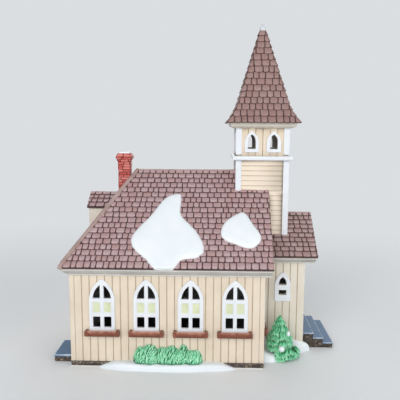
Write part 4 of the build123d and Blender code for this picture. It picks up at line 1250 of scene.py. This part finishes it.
def corner_bank():
    """Snow in the corner between the nave and the wing, under the tree."""
    columns, rows = 112, 56
    first = math.radians(-8)
    rear_slope = math.radians(5)
    lump_scale = 140
    lump_height = 0.4 * mm
    bm = bmesh.new()

    def vertex(row, column):
        out = row / rows
        angle = first + (math.pi / 2 - first) * column / columns
        spot = bank_corner + heading(-angle) * bank_edge(angle) * out
        lump = noise.noise(Vector((spot.x, spot.y, 0)) * lump_scale) * lump_height * (1 - out)
        rear_fall = min(1.0, (angle - first) / rear_slope) ** 0.5
        return bm.verts.new((*spot, (bank_height(spot) + lump) * rear_fall))

    sheet(bm, rows + 1, columns + 1, vertex)
    place("corner_snow_drift", bm, [snow_white], stands_for="corner_snow_bank")


roof_snow()
spire_snow()
front_bank()
corner_bank()

# Shrub and tree


def shrub():
    """Lobed shrub of short, curling leaves that fan out against the front wall."""
    low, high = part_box("front_shrub")
    half = (high.x - low.x) / 2 - 0.5 * mm
    middle_x = (low.x + high.x) / 2 + 0.3 * mm
    foot_z = low.z + 0.9 * mm
    tall = high.z - foot_z - 0.9 * mm
    deep = high.y - low.y
    lobes = ((-0.75, 0.24, 0.85, 0.9), (-0.5, 0.28, 0.98, 1.0), (-0.12, 0.25, 0.83, 0.95),
             (0.13, 0.24, 0.91, 1.0), (0.35, 0.2, 0.71, 0.95), (0.47, 0.17, 1.0, 0.7),
             (0.7, 0.2, 0.65, 0.9), (0.83, 0.18, 0.67, 0.85))
    leaf_rows = 7
    leaf_pitch = 1.0 * mm
    leaf_steps = 5
    leaf_fan, leaf_lean, leaf_stray, leaf_curl = 44, 28, 18, 30
    heart_rings, heart_columns = 8, 17
    heart_swell = 0.9
    bm, layers = tiled_mesh()
    core = bmesh.new()
    for place_share, width_share, height_share, depth_share in lobes:
        foot = Vector((middle_x + half * place_share, high.y, foot_z))
        size = Vector((half * width_share, deep * depth_share, tall * height_share)) * 0.95

        def on_lobe(across, rise, swell):
            far = math.hypot(across, rise)
            inside = min(1.0, 1 / max(far, 1e-6)) * swell
            out = math.sqrt(max(0.0, 1 - min(1.0, far) ** 2)) * swell
            return foot + Vector((size.x * across * inside, -size.y * out, size.z * max(0.0, rise) * inside))

        for leaf_row in range(leaf_rows):
            foot_rise = 0.98 * leaf_row / leaf_rows
            row_half = math.sqrt(1 - foot_rise * foot_rise)
            count = max(2, round(2 * row_half * size.x / leaf_pitch))
            for leaf in range(count):
                across = row_half * (2 * (leaf + 0.5 + rng.uniform(-0.3, 0.3)) / count - 1)
                stray = rng.uniform(-leaf_stray, leaf_stray)
                bearing = math.radians(across * leaf_fan + leaf_lean + stray)
                curl = math.radians(rng.uniform(-leaf_curl, leaf_curl))
                length = rng.uniform(3.4, 5.2) * (1 - 0.4 * foot_rise) * mm
                spot = Vector((across * size.x, foot_rise * size.z))
                points = []
                for step in range(leaf_steps + 1):
                    share = step / leaf_steps
                    swell = 1 + 0.03 * math.sin(math.pi * share)
                    points.append(on_lobe(spot.x / size.x, spot.y / size.z, swell))
                    turned = bearing + curl * share
                    spot += Vector((math.sin(turned), math.cos(turned))) * length / leaf_steps
                # Each leaf lighter along its middle and darker at both ends: painted shade.
                strand(bm, layers, points, rng.uniform(0.38, 0.52) * mm,
                       lambda share: 0.03 + math.sin(math.pi * share) * 0.95, rng.random())

        def vertex(ring, column):
            rise = math.sin(math.pi / 2 * ring / (heart_rings - 0.8))
            across = -math.sqrt(1 - rise * rise) * math.cos(math.pi * column / (heart_columns - 1))
            return core.verts.new(on_lobe(across, rise, heart_swell))

        sheet(core, heart_rings, heart_columns, vertex)
    place("shrub_leaves", bm, [foliage], stands_for="front_shrub")
    place("shrub_heart", core, [leaf_shade])


def snow_under(spot):
    """Lowest height of a needle: on the corner's snow, or near the floor past its edge."""
    return max(0.5 * mm, bank_height(spot) - 0.3 * mm)


def fir():
    """Fir of short drooping bunches of needles, its skirt lying along the edge of the snow."""
    low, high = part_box("fir_tree")
    trunk = Vector(((low.x + high.x) / 2 - 0.6 * mm, (low.y + high.y) / 2))
    apex_z = high.z + 0.4 * mm
    flat = 0.88
    tiers = 9
    first_drop = 3.3 * mm
    tier_pitch = 3.1 * mm
    point_slope = 0.7
    side_slope = 0.45
    side_start = 0.9 * mm
    widest = 8.8 * mm
    skirt_from = 7.4 * mm
    skirt_middle = Vector((4.8, -3.2)) * mm
    skirt_long = 9.8 * mm
    skirt_short = 5.4 * mm
    skirt_turn = Matrix.Rotation(math.radians(26), 2)
    bunch_pitch = 3.0 * mm
    skirt_pitch = 1.9 * mm
    needles = 8
    needle_steps = 5
    needle_run = 3.3 * mm
    needle_fall = 3.9 * mm
    skirt_fall = 2.6 * mm
    leaders = 4
    leader_height = 3.4 * mm
    heart_depth = 2.3 * mm
    heart_rings, heart_columns = 12, 24

    def bough(z, bearing, drawn_in):
        """Spot of a bough's tip at a height and bearing, drawn in towards the trunk by some length."""
        facing = heading(bearing)
        if z < skirt_from:
            along = facing.x * (skirt_long - drawn_in)
            across = facing.y * max(0.3 * mm, skirt_short - drawn_in)
            return trunk + skirt_middle + skirt_turn @ Vector((along, across))
        down = apex_z - z
        reach = min(point_slope * down, side_start + side_slope * down, widest)
        reach = max(0.12 * mm, reach - drawn_in)
        return trunk + Vector((facing.x * reach, facing.y * reach * flat))

    def cone(spot):
        """Highest needle over a spot, so that the tree ends in a point."""
        out = (spot - trunk).length
        return apex_z - 0.2 * mm - 0.75 * max(out / point_slope, (out - side_start) / side_slope)

    bm, layers = tiled_mesh()
    for tier in range(tiers):
        tip_z = apex_z - first_drop - tier * tier_pitch
        on_skirt = tip_z < skirt_from
        pitch, fall, oval = (skirt_pitch, skirt_fall, 0.8) if on_skirt else (bunch_pitch, needle_fall, 1)
        girth = (bough(tip_z, 0, 0) - bough(tip_z, math.pi, 0)).length * math.pi * oval
        bunches = max(4, round(girth / pitch))
        for bunch in range(bunches):
            bearing = full_turn * (bunch + 0.5 * (tier % 2) + rng.uniform(-0.25, 0.25)) / bunches
            hang = rng.uniform(-1.5, 1.0) * mm
            short_by = rng.uniform(-0.5, 0.7) * mm
            tone = rng.random()
            for needle in range(needles):
                fan = 2 * needle / (needles - 1) - 1 + rng.uniform(-0.4, 0.4)
                stray = rng.uniform(-0.6, 0.6) * mm
                twist = rng.uniform(-0.7, 0.7)
                points = []
                for step in range(needle_steps + 1):
                    share = step / needle_steps
                    turned = (fan * (0.4 + 0.6 * share) + twist * share * share) * math.pi * 0.9 / bunches
                    drawn_in = short_by + stray + 0.4 * mm * fan * fan
                    drawn_in += needle_run * (1 - math.sin(share * math.pi / 2))
                    spot = bough(tip_z, bearing + turned, drawn_in)
                    z = tip_z + hang + stray + fall * (1 - share ** 1.4) - 0.3 * mm * fan * fan
                    if not on_skirt:
                        z = min(z, cone(spot))
                    points.append(Vector((*spot, max(z, snow_under(spot)))))
                # Each needle dark at its root and light at its tip: painted shade inside the boughs.
                strand(bm, layers, points, rng.uniform(0.34, 0.5) * mm, lambda share: 1.22 * share ** 1.5,
                       0.6 * tone + 0.4 * rng.random())
    for leader in range(leaders):
        lean = heading(math.pi / 2 * (leader + 0.3)) * 0.8 * mm
        points = [Vector((*(trunk + lean * left), apex_z - leader_height * left))
                  for left in (1, 0.75, 0.5, 0.25, 0)]
        # Leaders darker towards their foot: painted shade.
        strand(bm, layers, points, 0.4 * mm, lambda share: 0.3 + 0.5 * share, rng.random())
    place("fir_needles", bm, [foliage], stands_for="fir_tree")
    core = bmesh.new()
    for foot_z, head_z, lowest in ((skirt_from - 2 * mm, apex_z - 2.6 * mm, skirt_from),
                                   (0.4 * mm, skirt_from - 0.2 * mm, 0)):

        def vertex(ring, column):
            z = foot_z + (head_z - foot_z) * ring / (heart_rings - 1)
            spot = bough(max(z, lowest), full_turn * column / heart_columns, heart_depth)
            return core.verts.new((*spot, z))

        sheet(core, heart_rings, heart_columns, vertex, closed=True, caps=(0, -1))
    place("fir_heart", core, [leaf_shade])


def snow_tufts():
    """Lumps of snow resting on the boughs, the upper one small and long."""
    rings, columns = 9, 20
    shrinks = (Vector((0.85, 0.9, 0.85)), Vector((0.5, 0.7, 0.75)))
    bm = bmesh.new()
    lumps = sorted(islands("tree_snow_tufts"), key=lambda ends: ends[0].z)
    for (low, high), shrink in zip(lumps, shrinks):
        heart = (low + high) / 2 + Vector((0, -0.8, 2.2)) * mm
        size = (high - low) / 2 * shrink

        def vertex(ring, column):
            rise = math.pi * ((ring + 1) / (rings + 1) - 0.5)
            facing = Vector((*heading(full_turn * column / columns) * math.cos(rise), math.sin(rise)))
            lump = 1 + 0.12 * noise.noise((heart + facing * size.x) * 420)
            return bm.verts.new(heart + facing * size * lump)

        sheet(bm, rings, columns, vertex, closed=True, caps=(0, -1))
    place("fir_snow", bm, [snow_white], stands_for="tree_snow_tufts")


shrub()
fir()
snow_tufts()

# Lamp
soften("lamp_holder", plain_edge, [white_plastic], body="lamp")
soften("lamp_clips", metal_edge, [spring_steel], body="lamp")
soften("lamp_screw_shell", metal_edge, [brass], body="lamp")
soften("lamp_contact", small_edge, [brass], body="lamp")
soften("bulb_base", block_edge, [brass], body="bulb")
repaint("bulb_glass", bulb_clear)

# Floor, light and camera


def seen_ray(tree):
    """One for what the camera sees, straight or through gloss and glass."""
    rays = node(tree, "ShaderNodeLightPath", {}).outputs
    shiny = calculate(tree, "MAXIMUM", rays["Is Camera Ray"], rays["Is Glossy Ray"])
    return calculate(tree, "MAXIMUM", shiny, rays["Is Transmission Ray"])


def studio_floor():
    """Pale paper that keeps the object's shadow and turns into the backdrop further out."""
    paper_half = 3.0
    fade_start = 0.16
    fade_end = 0.55
    bm = bmesh.new()
    bmesh.ops.create_grid(bm, x_segments=4, y_segments=4, size=paper_half)
    mesh = bpy.data.meshes.new("floor")
    bm.to_mesh(mesh)
    bm.free()
    floor = bpy.data.objects.new("floor", mesh)
    bpy.context.scene.collection.objects.link(floor)
    material, tree, shader = new_material("floor_paper")
    fill(tree, shader, {"Roughness": 0.85, "Base Color": rgb(238, 240, 242)})
    glow = node(tree, "ShaderNodeEmission", {"Color": rgb(*backdrop_tone)})
    distance = node(tree, "ShaderNodeVectorMath", {0: in_object(tree)}, operation="LENGTH")
    fade = remap(tree, distance.outputs["Value"], 0.0, 1.0, fade_start, fade_end, "SMOOTHSTEP")
    shown = calculate(tree, "MULTIPLY", fade, seen_ray(tree))
    blend = node(tree, "ShaderNodeMixShader", {0: shown, 1: shader.outputs[0], 2: glow.outputs[0]})
    fill(tree, tree.nodes["Material Output"], {"Surface": blend.outputs[0]})
    mesh.materials.append(material)


def studio_world():
    """Plain backdrop that lights the object more gently than it shows."""
    ambient = 0.46
    world = bpy.data.worlds.new("studio")
    bpy.context.scene.world = world
    world.use_nodes = True
    tree = world.node_tree
    strength = remap(tree, seen_ray(tree), ambient, 1.0)
    fill(tree, tree.nodes["Background"], {"Color": rgb(*backdrop_tone), "Strength": strength})


def softbox(name, spot, watts):
    """Large soft area light aimed at the middle of the object."""
    across = 0.8
    lamp = bpy.data.lights.new(name, "AREA")
    lamp.size = across
    lamp.energy = watts
    holder = bpy.data.objects.new(name, lamp)
    holder.location = spot
    holder.rotation_mode = "QUATERNION"
    holder.rotation_quaternion = ((cad_box[0] + cad_box[1]) / 2 - spot).to_track_quat("-Z", "Y")
    bpy.context.scene.collection.objects.link(holder)


def photo_camera():
    """Camera of the photograph."""
    data = bpy.data.cameras.new("camera")
    data.sensor_width = sensor_width
    data.lens = focal_pixels / image_width * sensor_width
    data.clip_start = 0.01
    data.clip_end = 20.0
    camera = bpy.data.objects.new("camera", data)
    aim = Matrix.Rotation(-camera_yaw, 4, "Z") @ Matrix.Rotation(math.pi / 2 - camera_pitch, 4, "X")
    camera.matrix_world = Matrix.Translation(camera_place) @ aim @ Matrix.Rotation(camera_roll, 4, "Z")
    bpy.context.scene.collection.objects.link(camera)
    bpy.context.scene.camera = camera


studio_floor()
studio_world()
softbox("key", Vector((-0.28, -1.05, 0.62)), 8.2)
softbox("fill", Vector((0.8, -0.7, 0.35)), 3.2)
softbox("back", Vector((0.1, 1.0, 0.7)), 4.0)
photo_camera()
bpy.context.scene.view_settings.view_transform = "Standard"
